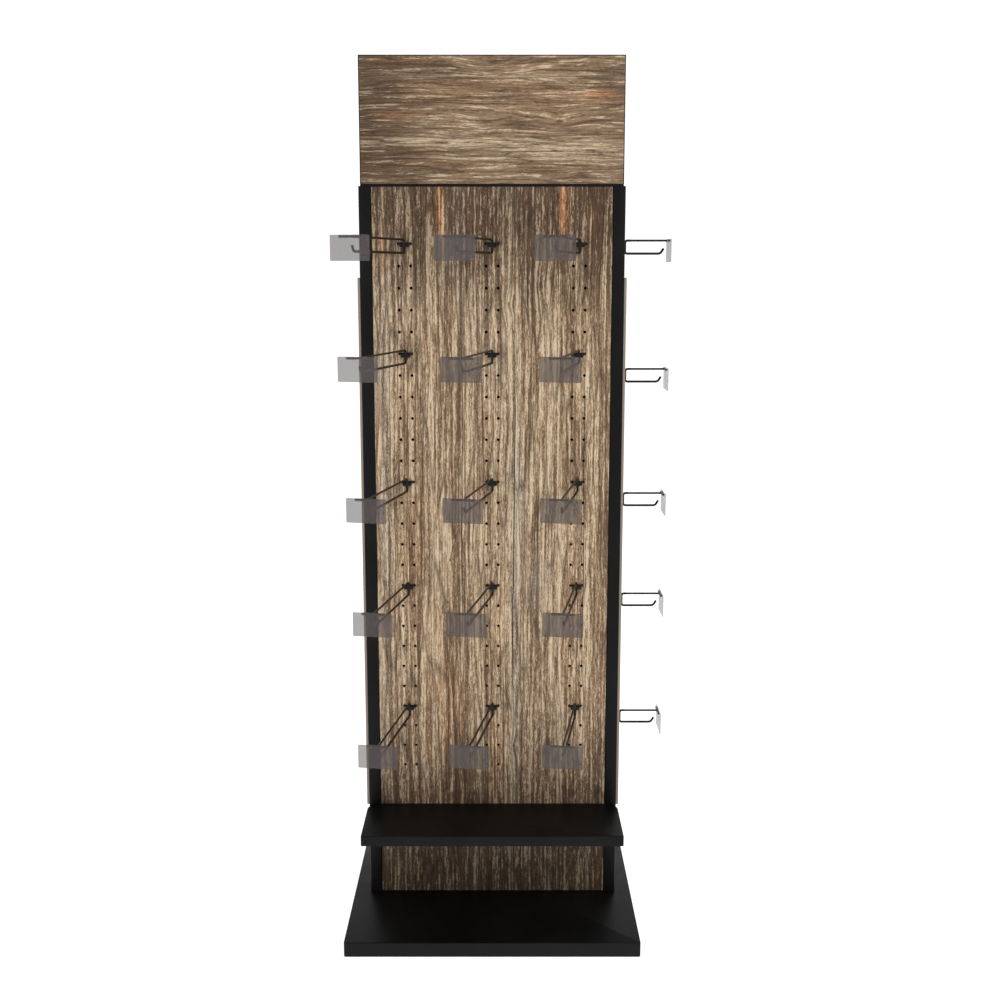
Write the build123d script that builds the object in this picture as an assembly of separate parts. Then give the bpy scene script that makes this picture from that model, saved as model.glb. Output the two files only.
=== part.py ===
from build123d import *
import os

# Pegboard display stand: a steel floor base, a four-post tower with perforated panels on
# its front, back and sides, a tray shelf, a header box and twenty label hooks.
# Millimetres. +Z is up and the front faces -Y. The origin is the middle of the base's
# lower rim, which lies on the floor.

# Base tray and what is under its deck
base_margin = 35.0
base_depth = 615.0
base_height = 31.0
base_sheet = 1.5
base_corner_radius = 5.0
base_top_radius = 1.4
base_return = 12.0
channel_width = 50.0
channel_sheet = 2.0
channel_end_gap = 5.0
channel_web_z = 12.0
channel_access_radius = 11.0

# Levelling feet
foot_end_inset = 37.5
foot_pad_radius = 15.0
foot_pad_height = 8.0
foot_pad_edge = 1.5
foot_socket_depth = 5.0
stud_radius = 3.95
stud_top_gap = 0.5
nut_across_flats = 13.0
nut_height = 6.5
thread_clearance = 0.05
hole_clearance = 0.5
foot_travel = 10.0

# Tower frame
tower_width = 545.0
tower_depth = 160.0
post_size = 25.0
post_wall = 1.5
post_corner_radius = 2.0
post_top_z = 1569.0
rail_size = 20.0
rail_wall = 1.5
plug_length = 25.0
plug_chamfer = 1.0
cap_length = 12.0
spreader_length = 60.0
spreader_gap = 1.0
spreader_thickness = 4.0
post_bolt_head = 5.3
strip_width = 15.0
strip_thickness = 3.0
top_plate_thickness = 3.0
divider_thickness = 1.5
divider_side_gap = 2.0

# Panels and their hole grid
board_thickness = 5.0
board_recess = 3.0
board_side_gap = 1.0
board_end_gap = 1.0
side_plate_thickness = 1.5
side_board_edge_inset = 2.0
side_board_shelf_lap = 3.0
side_board_top_drop = 184.0
side_board_corner = 3.0
hole_radius = 3.2
hole_gap = 25.0
row_pitch = 45.0
first_row_drop = 115.0
last_row_clearance = 90.0
column_pitch = 180.0
hole_edge_margin = 12.0

# Header box
header_end_setback = 4.0
header_height = 253.0
header_sheet = 1.5
header_setback = 1.0
header_board_gap = 0.3
header_bolt_x = 200.0
header_bolt_radius = 3.0
header_bolt_head = 4.0
header_nut_height = 5.0

# Shelf
shelf_overhang = 2.0
shelf_depth = 170.0
shelf_top_z = 239.0
shelf_lip = 21.6
shelf_sheet = 1.5
shelf_rear_notch = 9.0
shelf_notch_length = 26.0
gusset_gap = 0.5
gusset_thickness = 3.0
gusset_length = 130.0
gusset_height = 48.0
gusset_flange = 16.0

# Screws
screw_radius = 1.75
screw_head_radius = 4.0
screw_head_height = 2.4
screw_tip_cover = 1.0
screws_per_strip = 5
side_screw_spread = 40.0
side_screw_rows = 4
shelf_screw_radius = 2.4
shelf_screw_head_radius = 4.5
shelf_screw_head_height = 3.0

# Hooks: each row's place down the hole grid, as a share of the grid's height
front_hook_shares = (0.0, 0.2, 0.44, 0.64, 0.88)
side_hook_shares = (0.0, 0.24, 0.48, 0.68, 0.92)
# Lean to the left of each front hook in degrees: rows from the top, columns from the left
front_hook_leans = (
    (17.9, 14.6, 13.5),
    (15.6, 12.4, 10.9),
    (13.0, 11.8, 10.2),
    (11.0, 10.7, 9.0),
    (9.8, 9.7, 8.6),
)
front_hook_reach = 265.0
side_hook_reach = 84.0
prong_radius = 2.5
prong_bend = 3.4
prong_rise = 12.0
prong_wall_gap = 0.4
face_gap = 0.2
arm_radius = 2.5
arm_drop = 19.0
wire_radius = 2.2
wire_rise = 8.0
yoke_bend = 5.0
yoke_stub = 6.0
clip_width = 19.0
clip_height = 7.0
clip_corner = 1.5
tip_rise = 11.0
tip_run = 7.0
tip_bend = 8.0
tip_round = 1.6

# Label plates on their cross bars
cross_bar_radius = 2.0
cross_bar_length = 46.0
label_forward = 8.0
label_width = 80.0
label_height = 48.0
label_thickness = 1.0
label_corner = 2.0
label_setting = 0.45
sleeve_clearance = 0.05
sleeve_wall = 1.2
sleeve_inner_end = 5.5
sleeve_outer_end = 22.0
sleeve_slot = 2.6
label_swing_back = 5.0
label_swing_out = 90.0

# Worked out from the values above
base_width = tower_width + 2 * base_margin
header_width = tower_width - 2 * header_end_setback
shelf_width = tower_width + 2 * shelf_overhang
side_board_bottom_z = shelf_top_z - side_board_shelf_lap
side_board_top_z = post_top_z - side_board_top_drop
first_row_z = post_top_z - first_row_drop
row_count = int((first_row_z - shelf_top_z - last_row_clearance) // row_pitch) + 1
front_hook_rows = [round(share * (row_count - 1)) for share in front_hook_shares]
side_hook_rows = [round(share * (row_count - 1)) for share in side_hook_shares]
half_width = tower_width / 2
half_depth = tower_depth / 2
post_x = half_width - post_size / 2
post_y = half_depth - post_size / 2
deck_under_z = base_height - base_sheet
board_y = half_depth - board_recess
board_back_y = board_y - board_thickness
inner_x = half_width - post_size
inner_y = half_depth - post_size
header_z = post_top_z + top_plate_thickness
header_top_z = header_z + header_height
header_y = half_depth - header_setback
row_z = [first_row_z - row_pitch * n for n in range(row_count)]
column_x = [-column_pitch, 0.0, column_pitch]
corner_names = ("front_left", "front_right", "back_left", "back_right")
crossbar_out = face_gap + prong_radius
yoke_out = crossbar_out + prong_radius + arm_radius - face_gap
gusset_outer_x = shelf_width / 2 - shelf_rear_notch - shelf_sheet - gusset_gap
side_rows = [
    z
    for z in row_z
    if side_board_bottom_z + hole_edge_margin < z < side_board_top_z - hole_edge_margin
]


def block(x0, x1, y0, y1, z0, z1):
    """A box between two corners, given in any order."""
    centre = ((x0 + x1) / 2, (y0 + y1) / 2, (z0 + z1) / 2)
    return Pos(*centre) * Box(abs(x1 - x0), abs(y1 - y0), abs(z1 - z0))


def upright(radius, x, y, z0, z1):
    """A round bar or hole along Z."""
    return Pos(x, y, (z0 + z1) / 2) * Cylinder(radius, abs(z1 - z0))


def level_bar(radius, start, direction, length):
    """A round bar that starts at a point and runs along a direction."""
    return extrude(Plane(origin=start, z_dir=direction) * Circle(radius), amount=length)


def group(pieces):
    """Several separate solids kept as one sub-part."""
    return Compound(children=[solid for piece in pieces for solid in piece.solids()])


def signs():
    """The four corners, front left first."""
    return [(-1, -1), (1, -1), (-1, 1), (1, 1)]


def swept_wire(points, bend, radius):
    """A round wire along straight runs joined by tangent bends."""
    path = FilletPolyline(*points, radius=bend)
    return sweep(Plane(origin=path @ 0, z_dir=path % 0) * Circle(radius), path=path)


# ---------------------------------------------------------------- base


def foot_places():
    return [(sx * post_x, sy * (base_depth / 2 - foot_end_inset)) for sx, sy in signs()]


def base_pan():
    """Folded tray: deck, four lips and a return flange round the lower rim."""
    half_x = base_width / 2
    half_y = base_depth / 2
    pan = block(-half_x, half_x, -half_y, half_y, 0, base_height)
    pan = fillet(pan.edges().filter_by(Axis.Z), base_corner_radius)
    pan = fillet(pan.faces().sort_by(Axis.Z)[-1].edges(), base_top_radius)
    wall = base_sheet
    pan -= block(
        wall - half_x, half_x - wall, wall - half_y, half_y - wall, wall, deck_under_z
    )
    lip = base_return
    pan -= block(lip - half_x, half_x - lip, lip - half_y, half_y - lip, 0, wall)
    for sx, sy in signs():
        hole = stud_radius + hole_clearance
        pan -= upright(hole, sx * post_x, sy * post_y, deck_under_z, base_height)
    return pan


def base_channels():
    """Two channels welded under the deck, one below each pair of posts."""
    channels = []
    half_y = base_depth / 2 - base_return - channel_end_gap
    for side in (-1, 1):
        x = side * post_x
        half = channel_width / 2
        channel = block(x - half, x + half, -half_y, half_y, channel_web_z, deck_under_z)
        inner = half - channel_sheet
        floor_z = channel_web_z + channel_sheet
        channel -= block(x - inner, x + inner, -half_y, half_y, floor_z, deck_under_z)
        for sy in (-1, 1):
            y = sy * post_y
            channel -= upright(channel_access_radius, x, y, channel_web_z, floor_z)
        for foot_x, foot_y in foot_places():
            if foot_x * side > 0:
                hole = stud_radius + hole_clearance
                channel -= upright(hole, foot_x, foot_y, channel_web_z, floor_z)
        channels.append(channel)
    return group(channels)


def hex_nut(x, y, z0, height, across, bore):
    outline = RegularPolygon(across / 2, 6, major_radius=False) - Circle(bore)
    return Pos(x, y, z0) * extrude(outline, amount=height)


def foot_nuts():
    """Weld nuts on the channels, one above each foot."""
    bore = stud_radius + thread_clearance
    z = channel_web_z + channel_sheet
    return group(
        [hex_nut(x, y, z, nut_height, nut_across_flats, bore) for x, y in foot_places()]
    )


def foot(x, y):
    """A levelling foot: a moulded pad with its steel stud, drawn right in."""
    pad = upright(foot_pad_radius, x, y, 0, foot_pad_height)
    pad = chamfer(pad.edges().filter_by(GeomType.CIRCLE), foot_pad_edge)
    socket_z = foot_pad_height - foot_socket_depth
    pad -= upright(stud_radius, x, y, socket_z, foot_pad_height)
    stud = upright(stud_radius, x, y, socket_z, deck_under_z - stud_top_gap)
    return group([pad, stud])


def spreader_plates():
    """Thick plates in the channels that the post bolts pull against."""
    plates = []
    half_x = channel_width / 2 - channel_sheet - spreader_gap
    half_y = spreader_length / 2
    low_z = deck_under_z - spreader_thickness
    for sx, sy in signs():
        x = sx * post_x
        y = sy * post_y
        plate = block(x - half_x, x + half_x, y - half_y, y + half_y, low_z, deck_under_z)
        plates.append(plate - upright(stud_radius + hole_clearance, x, y, low_z, deck_under_z))
    return group(plates)


def post_bolts():
    """Hexagon bolts from below, through the deck into the posts' plugs."""
    bolts = []
    seat_z = deck_under_z - spreader_thickness
    tip_z = base_height + plug_length
    for sx, sy in signs():
        x = sx * post_x
        y = sy * post_y
        outline = RegularPolygon(nut_across_flats / 2, 6, major_radius=False)
        head = Pos(x, y, seat_z - post_bolt_head) * extrude(outline, amount=post_bolt_head)
        bolts.append(head + upright(stud_radius, x, y, seat_z, tip_z))
    return group(bolts)


# ---------------------------------------------------------------- tower frame


def square_tube(size, wall, radius):
    outer = RectangleRounded(size, size, radius) if radius else Rectangle(size, size)
    return outer - Rectangle(size - 2 * wall, size - 2 * wall)


def post(sx, sy):
    """A square-tube corner post standing on the deck."""
    profile = square_tube(post_size, post_wall, post_corner_radius)
    tube = extrude(profile, amount=post_top_z - base_height)
    return Pos(sx * post_x, sy * post_y, base_height) * tube


def post_plugs():
    """Threaded blocks pressed into the lower end of each post."""
    plugs = []
    width = post_size - 2 * post_wall
    for sx, sy in signs():
        plug = Box(width, width, plug_length)
        plug = chamfer(plug.edges().filter_by(Axis.Z), plug_chamfer)
        plug = Pos(sx * post_x, sy * post_y, base_height + plug_length / 2) * plug
        bore = stud_radius + thread_clearance
        top_z = base_height + plug_length
        plugs.append(plug - upright(bore, sx * post_x, sy * post_y, base_height, top_z))
    return group(plugs)


def post_caps():
    """Moulded inserts that close the posts' upper ends."""
    width = post_size - 2 * post_wall
    cap = Box(width, width, cap_length)
    cap = chamfer(cap.edges().filter_by(Axis.Z), plug_chamfer)
    z = post_top_z - cap_length / 2
    return group([Pos(sx * post_x, sy * post_y, z) * cap for sx, sy in signs()])


def rail_ring(low_z):
    """Four cross rails: front and back behind the boards, left and right behind the plates."""
    profile = square_tube(rail_size, rail_wall, 0)
    z = low_z + rail_size / 2
    rails = []
    for s in (-1, 1):
        y = s * (board_back_y - rail_size / 2)
        along_x = Plane(origin=(-inner_x, y, z), x_dir=(0, 1, 0), z_dir=(1, 0, 0))
        rails.append(extrude(along_x * profile, amount=2 * inner_x))
        x = s * (half_width - side_plate_thickness - rail_size / 2)
        along_y = Plane(origin=(x, -inner_y, z), x_dir=(1, 0, 0), z_dir=(0, 1, 0))
        rails.append(extrude(along_y * profile, amount=2 * inner_y))
    return rails


def header_bolt_places():
    y = board_back_y - rail_size / 2
    return [(sx * header_bolt_x, sy * y) for sx, sy in signs()]


def top_rails():
    low_z = post_top_z - rail_size
    rails = rail_ring(low_z)
    drilled = []
    for rail in rails:
        for x, y in header_bolt_places():
            hole = header_bolt_radius + hole_clearance
            rail -= upright(hole, x, y, low_z, post_top_z)
        drilled.append(rail)
    return group(drilled)


def bottom_rails():
    return group(rail_ring(base_height))


def centre_divider():
    """Plate down the middle of the tower, between the lower and the upper side rails."""
    half_x = half_width - side_plate_thickness - rail_size / 2 - divider_side_gap
    half_y = divider_thickness / 2
    low_z = base_height + rail_size
    return block(-half_x, half_x, -half_y, half_y, low_z, post_top_z - rail_size)


def panel_strips():
    """Flat strips welded to the posts' inner sides, behind the front and back boards."""
    low_z = base_height + rail_size
    high_z = post_top_z - rail_size
    strips = []
    for sx, sy in signs():
        inner = sx * (inner_x - strip_width)
        back = sy * (board_back_y - strip_thickness)
        strips.append(block(inner, sx * inner_x, back, sy * board_back_y, low_z, high_z))
    return group(strips)


def top_plate():
    """Plate across the top of the tower, under the header."""
    half_x = header_width / 2
    plate = block(-half_x, half_x, -header_y, header_y, post_top_z, header_z)
    for x, y in header_bolt_places():
        plate -= upright(header_bolt_radius + hole_clearance, x, y, post_top_z, header_z)
    return plate


# ---------------------------------------------------------------- panels


def hole_pairs(centres, rows):
    """Flat sketch of the peg holes: two side by side at each centre, in every row."""
    return [
        Pos(u + s * hole_gap / 2, z) * Circle(hole_radius)
        for u in centres
        for z in rows
        for s in (-1, 1)
    ]


def pegboard(front_y):
    """A perforated board between the posts, its outer face at front_y."""
    low_z = base_height + board_end_gap
    high_z = post_top_z - board_end_gap
    width = 2 * (inner_x - board_side_gap)
    outline = Pos(0, (low_z + high_z) / 2) * Rectangle(width, high_z - low_z)
    outline -= hole_pairs(column_x, row_z)
    inward = -board_thickness if front_y < 0 else board_thickness
    return extrude(Plane.XZ.offset(-front_y) * outline, amount=inward)


def side_plate(side):
    """Perforated steel plate between a front and a back post, flush with their outer faces."""
    outline = Pos(0, (base_height + post_top_z) / 2)
    outline = outline * Rectangle(2 * inner_y, post_top_z - base_height)
    outline -= hole_pairs([0], row_z)
    plane = Plane.YZ.offset(side * half_width)
    return extrude(plane * outline, amount=-side * side_plate_thickness)


def side_board(side):
    """Perforated board over a side plate and the posts' outer faces."""
    width = 2 * (half_depth - side_board_edge_inset)
    height = side_board_top_z - side_board_bottom_z
    outline = Pos(0, (side_board_top_z + side_board_bottom_z) / 2)
    outline = outline * RectangleRounded(width, height, side_board_corner)
    outline -= hole_pairs([0], side_rows)
    plane = Plane.YZ.offset(side * half_width)
    return extrude(plane * outline, amount=side * board_thickness)


def wood_screw(seat, direction, cover, driven_in):
    """A pan-head screw: its head lies on the seat and its shank stops short of the far face."""
    start = Vector(*seat)
    along = Vector(*direction)
    head = level_bar(screw_head_radius, start - along * screw_head_height, along, screw_head_height)
    head = fillet(head.faces().sort_by(Axis(seat, direction))[0].edges(), screw_head_height / 2)
    return head + level_bar(screw_radius, start, along, cover + driven_in)


def strip_screw_rows():
    low_z = base_height + 3 * rail_size
    high_z = post_top_z - 3 * rail_size
    step = (high_z - low_z) / (screws_per_strip - 1)
    return [low_z + step * n for n in range(screws_per_strip)]


def drill(piece, screws):
    """The piece with a snug hole wherever a screw passes through it."""
    return piece - screws


def front_panel_screws():
    """Screws from inside the tower, through the strips into the front board."""
    x = inner_x - strip_width / 2
    seat_y = strip_thickness - board_back_y
    driven = board_thickness - screw_tip_cover
    return [
        wood_screw((s * x, seat_y, z), (0, -1, 0), strip_thickness, driven)
        for s in (-1, 1)
        for z in strip_screw_rows()
    ]


def back_panel_screws():
    """Screws from outside, through the back board into the strips."""
    x = inner_x - strip_width / 2
    return [
        wood_screw((s * x, board_y, z), (0, -1, 0), board_thickness, strip_thickness)
        for s in (-1, 1)
        for z in strip_screw_rows()
    ]


def side_board_screws(side):
    """Screws from inside the tower, through a side plate into its board."""
    seat_x = side * (half_width - side_plate_thickness)
    low_z = side_board_bottom_z + row_pitch
    step = (side_board_top_z - row_pitch - low_z) / (side_screw_rows - 1)
    driven = board_thickness - screw_tip_cover
    return [
        wood_screw((seat_x, y, low_z + step * n), (side, 0, 0), side_plate_thickness, driven)
        for y in (-side_screw_spread, side_screw_spread)
        for n in range(side_screw_rows)
    ]


# ---------------------------------------------------------------- header


def header_shell():
    """Folded steel frame round the header: top, bottom and two ends."""
    half_x = header_width / 2
    shell = block(-half_x, half_x, -header_y, header_y, header_z, header_top_z)
    wall = header_sheet
    shell -= block(
        wall - half_x, half_x - wall, -header_y, header_y, header_z + wall, header_top_z - wall
    )
    for x, y in header_bolt_places():
        shell -= upright(header_bolt_radius + hole_clearance, x, y, header_z, header_z + wall)
    return shell


def header_board(side):
    """A plain board set flush in the front or the back of the header."""
    half_x = header_width / 2 - header_sheet - header_board_gap
    low_z = header_z + header_sheet
    high_z = header_top_z - header_sheet - header_board_gap
    inner = side * (header_y - board_thickness)
    return block(-half_x, half_x, inner, side * header_y, low_z, high_z)


def header_strips():
    """Upright strips welded in the header's corners, behind its boards."""
    outer = header_width / 2 - header_sheet
    back = header_y - board_thickness
    low_z = header_z + header_sheet
    high_z = header_top_z - header_sheet
    return group(
        [
            block(
                sx * outer,
                sx * (outer - strip_width),
                sy * back,
                sy * (back - strip_thickness),
                low_z,
                high_z,
            )
            for sx, sy in signs()
        ]
    )


def header_screw_list(side):
    """Front screws from inside the header, back screws from outside."""
    x = header_width / 2 - header_sheet - strip_width / 2
    rows = [header_z + header_height * share for share in (0.2, 0.8)]
    back = header_y - board_thickness
    if side < 0:
        seat_y = strip_thickness - back
        cover = strip_thickness
        driven = board_thickness - screw_tip_cover
    else:
        seat_y = header_y
        cover = board_thickness
        driven = strip_thickness
    return [wood_screw((s * x, seat_y, z), (0, -1, 0), cover, driven) for s in (-1, 1) for z in rows]


def header_bolts():
    """Bolts up through the top rails, the top plate and the header, each with its nut."""
    pieces = []
    seat_z = post_top_z - rail_size
    nut_z = header_z + header_sheet
    tip_z = nut_z + header_nut_height + header_bolt_radius
    across = nut_across_flats * header_bolt_radius / stud_radius
    for x, y in header_bolt_places():
        outline = RegularPolygon(across / 2, 6, major_radius=False)
        head = Pos(x, y, seat_z - header_bolt_head) * extrude(outline, amount=header_bolt_head)
        pieces.append(head + upright(header_bolt_radius, x, y, seat_z, tip_z))
        bore = header_bolt_radius + thread_clearance
        pieces.append(hex_nut(x, y, nut_z, header_nut_height, across, bore))
    return group(pieces)


# ---------------------------------------------------------------- shelf


def shelf_outline(shrink):
    """The tray seen from above, its rear corners cut back to the posts."""
    half = shelf_width / 2 - shrink
    front = -half_depth - shelf_depth + shrink
    rear = -half_depth
    notch = half - shelf_rear_notch
    points = [
        (-half, front),
        (half, front),
        (half, rear - shelf_notch_length),
        (notch, rear),
        (-notch, rear),
        (-half, rear - shelf_notch_length),
    ]
    return make_face(Polyline(*points, close=True))


def shelf_solid():
    low_z = shelf_top_z - shelf_lip
    tray = Pos(0, 0, low_z) * extrude(shelf_outline(0), amount=shelf_lip)
    top_edges = tray.faces().sort_by(Axis.Z)[-1].edges().sort_by(Axis.Y)[0]
    tray = fillet(top_edges, shelf_sheet * 0.9)
    hollow = extrude(shelf_outline(shelf_sheet), amount=shelf_lip - shelf_sheet)
    return tray - Pos(0, 0, low_z) * hollow


def gusset(side):
    """Bracket under one end of the shelf: a slanted web, a rear flange and a top flange."""
    outer = side * gusset_outer_x
    inner = outer - side * gusset_thickness
    rear = -half_depth
    top = shelf_top_z - shelf_sheet
    points = [
        (rear, top),
        (rear - gusset_length, top),
        (rear - gusset_length, top - gusset_flange),
        (rear, top - gusset_height),
    ]
    web = extrude(
        Plane.YZ.offset(min(outer, inner)) * make_face(Polyline(*points, close=True)),
        amount=gusset_thickness,
    )
    reach = inner - side * gusset_flange
    thick = gusset_thickness
    web += block(inner, reach, rear - thick, rear, top - gusset_height, top)
    web += block(inner, reach, rear - gusset_length, rear, top - thick, top)
    return web


def shelf_screw_list():
    """Two screws back into each post and two up into the tray, at each bracket."""
    screws = []
    top = shelf_top_z - shelf_sheet
    for side in (-1, 1):
        x = side * (gusset_outer_x - gusset_thickness - gusset_flange / 2)
        seat_y = -half_depth - gusset_thickness
        for share in (0.45, 0.8):
            seat = Vector(x, seat_y, top - gusset_height * share)
            screws.append(machine_screw(seat, Vector(0, 1, 0), gusset_thickness + post_wall))
        for share in (0.3, 0.8):
            seat = Vector(x, -half_depth - gusset_length * share, top - gusset_thickness)
            screws.append(machine_screw(seat, Vector(0, 0, 1), gusset_thickness + shelf_sheet))
    return screws


def machine_screw(seat, along, length):
    head_start = seat - along * shelf_screw_head_height
    head = level_bar(shelf_screw_head_radius, head_start, along, shelf_screw_head_height)
    return head + level_bar(shelf_screw_radius, seat, along, length)


# ---------------------------------------------------------------- hooks


def hook_list():
    """Every hook: (name, place of the hole pair on the wall's face, outward direction,
    wall thickness behind the face, lean in degrees, reach)."""
    hooks = []
    for row, n in enumerate(front_hook_rows):
        for name, x, lean in zip(("left", "centre", "right"), column_x, front_hook_leans[row]):
            place = (x, -board_y, row_z[n])
            label = f"r{row + 1}_{name}"
            hooks.append((label, place, (0, -1, 0), board_thickness, lean, front_hook_reach))
    for row, n in enumerate(side_hook_rows):
        on_board = row_z[n] in side_rows
        face_x = half_width + (board_thickness if on_board else 0)
        wall = side_plate_thickness + (board_thickness if on_board else 0)
        place = (face_x, 0, row_z[n])
        reach = side_hook_reach + half_width + board_thickness - face_x
        hooks.append((f"r{row + 1}_side", place, (1, 0, 0), wall, 0.0, reach))
    return hooks


def wall_frame(place, outward):
    """Local X points out of the wall, local Y along it and local Z up."""
    return Plane(origin=place, x_dir=outward, z_dir=(0, 0, 1)).location


def arm_frame(place, outward, lean):
    """The wall frame turned about the yoke's upright, which is where the arms lean."""
    turn = Pos(yoke_out, 0, 0) * Rot(0, 0, -lean) * Pos(-yoke_out, 0, 0)
    return wall_frame(place, outward) * turn


def staple(wall):
    """The bent wire whose two prongs go through the holes and turn up behind the wall."""
    back = -wall - prong_wall_gap - prong_radius
    half = hole_gap / 2
    points = [
        (back, -half, prong_rise),
        (back, -half, 0),
        (crossbar_out, -half, 0),
        (crossbar_out, half, 0),
        (back, half, 0),
        (back, half, prong_rise),
    ]
    return swept_wire(points, prong_bend, prong_radius)


def clip_block():
    """The pressed clip that joins the staple to the yoke."""
    thick = yoke_out + arm_radius * 0.6 - face_gap
    clip = Box(thick, clip_width, clip_height)
    clip = fillet(clip.edges().filter_by(Axis.X), clip_corner)
    return Pos(face_gap + thick / 2, 0, -clip_height / 2) * clip


def yoke():
    """The wire bend that carries the product arm below and the label wire above."""
    points = [
        (yoke_out + yoke_bend + yoke_stub, 0, -arm_drop),
        (yoke_out, 0, -arm_drop),
        (yoke_out, 0, wire_rise),
        (yoke_out + yoke_bend + yoke_stub, 0, wire_rise),
    ]
    return swept_wire(points, yoke_bend, arm_radius)


def hook_back(hook):
    """Staple, clip and yoke, welded into one piece."""
    _, place, outward, wall, lean, _ = hook
    fixed = wall_frame(place, outward) * (staple(wall) + clip_block())
    return fixed + arm_frame(place, outward, lean) * yoke()


def product_arm(hook):
    """The straight arm that goods hang on, with its upturned tip."""
    _, place, outward, _, lean, reach = hook
    points = [
        (yoke_out + yoke_bend + yoke_stub, 0, -arm_drop),
        (reach - tip_run, 0, -arm_drop),
        (reach, 0, tip_rise - arm_drop),
    ]
    arm = swept_wire(points, tip_bend, arm_radius)
    tip = arm.faces().sort_by(Axis.Z)[-1]
    arm = fillet(tip.edges(), tip_round)
    return arm_frame(place, outward, lean) * arm


def label_wire(hook):
    """The upper wire and the cross bar welded on its end."""
    _, place, outward, _, lean, reach = hook
    start = yoke_out + yoke_bend + yoke_stub
    bar_x = reach + label_forward
    wire = level_bar(wire_radius, (start, 0, wire_rise), (1, 0, 0), bar_x - start)
    bar_start = (bar_x, -cross_bar_length / 2, wire_rise)
    bar = level_bar(cross_bar_radius, bar_start, (0, 1, 0), cross_bar_length)
    return arm_frame(place, outward, lean) * (wire + bar)


def label_plate(hook):
    """Clear plate in front of the cross bar, with two open sleeves behind it that turn on the bar."""
    _, place, outward, _, lean, reach = hook
    bore = cross_bar_radius + sleeve_clearance
    outer = bore + sleeve_wall
    plate = Box(label_thickness, label_width, label_height)
    plate = fillet(plate.edges().filter_by(Axis.X), label_corner)
    front = bore + label_setting + label_thickness / 2
    plate = Pos(front, 0, outer - label_height / 2) * plate
    length = sleeve_outer_end - sleeve_inner_end
    for side in (-1, 1):
        start = (0, min(side * sleeve_inner_end, side * sleeve_outer_end), 0)
        plate += level_bar(outer, start, (0, 1, 0), length)
        plate -= level_bar(bore, start, (0, 1, 0), length)
        plate -= Pos(0, start[1] + length / 2, outer) * Box(sleeve_slot, length, outer * 2 - 0.8)
    return arm_frame(place, outward, lean) * (Pos(reach + label_forward, 0, wire_rise) * plate)


def label_hinge(hook):
    """A label's turning point and axis: positive turns it outwards and up."""
    _, place, outward, _, lean, reach = hook
    frame = arm_frame(place, outward, lean)
    centre = (frame * Pos(reach + label_forward, 0, wire_rise)).position
    tip = (frame * Pos(reach + label_forward, -1, wire_rise)).position
    return centre, tip - centre


# ---------------------------------------------------------------- joints and all sub-parts


def joint_list():
    """Each moving sub-part: (name, kind, point, axis, lowest and highest value)."""
    joints = []
    for name, (x, y) in zip(corner_names, foot_places()):
        point = Vector(x, y, 0)
        joints.append((f"foot_{name}", "slide", point, Vector(0, 0, -1), 0.0, foot_travel))
    for hook in hook_list():
        point, axis = label_hinge(hook)
        limits = (-label_swing_back, label_swing_out)
        joints.append((f"label_{hook[0]}", "hinge", point, axis, *limits))
    return joints


def build():
    """Every sub-part by name."""
    front_screws = front_panel_screws()
    back_screws = back_panel_screws()
    side_screws = {side: side_board_screws(side) for side in (-1, 1)}
    header_screws = {side: header_screw_list(side) for side in (-1, 1)}
    shelf_screws = shelf_screw_list()
    hooks = hook_list()
    parts = {
        "base_pan": base_pan(),
        "base_channels": base_channels(),
        "foot_nuts": foot_nuts(),
        "spreader_plates": spreader_plates(),
        "post_bolts": post_bolts(),
        "post_plugs": post_plugs(),
        "post_caps": post_caps(),
        "top_rails": top_rails(),
        "bottom_rails": bottom_rails(),
        "centre_divider": centre_divider(),
        "panel_strips": drill(panel_strips(), front_screws + back_screws),
        "front_pegboard": drill(pegboard(-board_y), front_screws),
        "back_pegboard": drill(pegboard(board_y), back_screws),
        "panel_screws": group(front_screws + back_screws),
        "side_board_screws": group(side_screws[-1] + side_screws[1]),
        "top_plate": top_plate(),
        "header_shell": header_shell(),
        "header_front_board": drill(header_board(-1), header_screws[-1]),
        "header_back_board": drill(header_board(1), header_screws[1]),
        "header_strips": drill(header_strips(), header_screws[-1] + header_screws[1]),
        "header_screws": group(header_screws[-1] + header_screws[1]),
        "header_bolts": header_bolts(),
        "shelf": drill(shelf_solid(), shelf_screws),
        "shelf_brackets": drill(group([gusset(-1), gusset(1)]), shelf_screws),
        "shelf_screws": group(shelf_screws),
        "hook_backs": group([hook_back(hook) for hook in hooks]),
        "product_arms": group([product_arm(hook) for hook in hooks]),
        "label_wires": group([label_wire(hook) for hook in hooks]),
    }
    for corner, name, (foot_x, foot_y) in zip(signs(), corner_names, foot_places()):
        parts[f"foot_{name}"] = foot(foot_x, foot_y)
        column = post(*corner)
        parts[f"post_{name}"] = drill(column, shelf_screws) if corner[1] < 0 else column
    for side, name in ((-1, "left"), (1, "right")):
        parts[f"{name}_side_plate"] = drill(side_plate(side), side_screws[side])
        parts[f"{name}_side_board"] = drill(side_board(side), side_screws[side])
    for hook in hooks:
        parts[f"label_{hook[0]}"] = label_plate(hook)
    return parts


def main():
    os.makedirs("parts", exist_ok=True)
    for name, shape in build().items():
        export_step(shape, f"parts/{name}.step")
    for name, kind, point, axis, low, high in joint_list():
        print(name, kind, tuple(point), tuple(axis), low, high)


if __name__ == "__main__":
    main()
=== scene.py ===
from functools import partial
from math import atan2, degrees, hypot, pi, radians, tan

import bmesh
import bpy
from mathutils import Matrix, Vector


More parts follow.
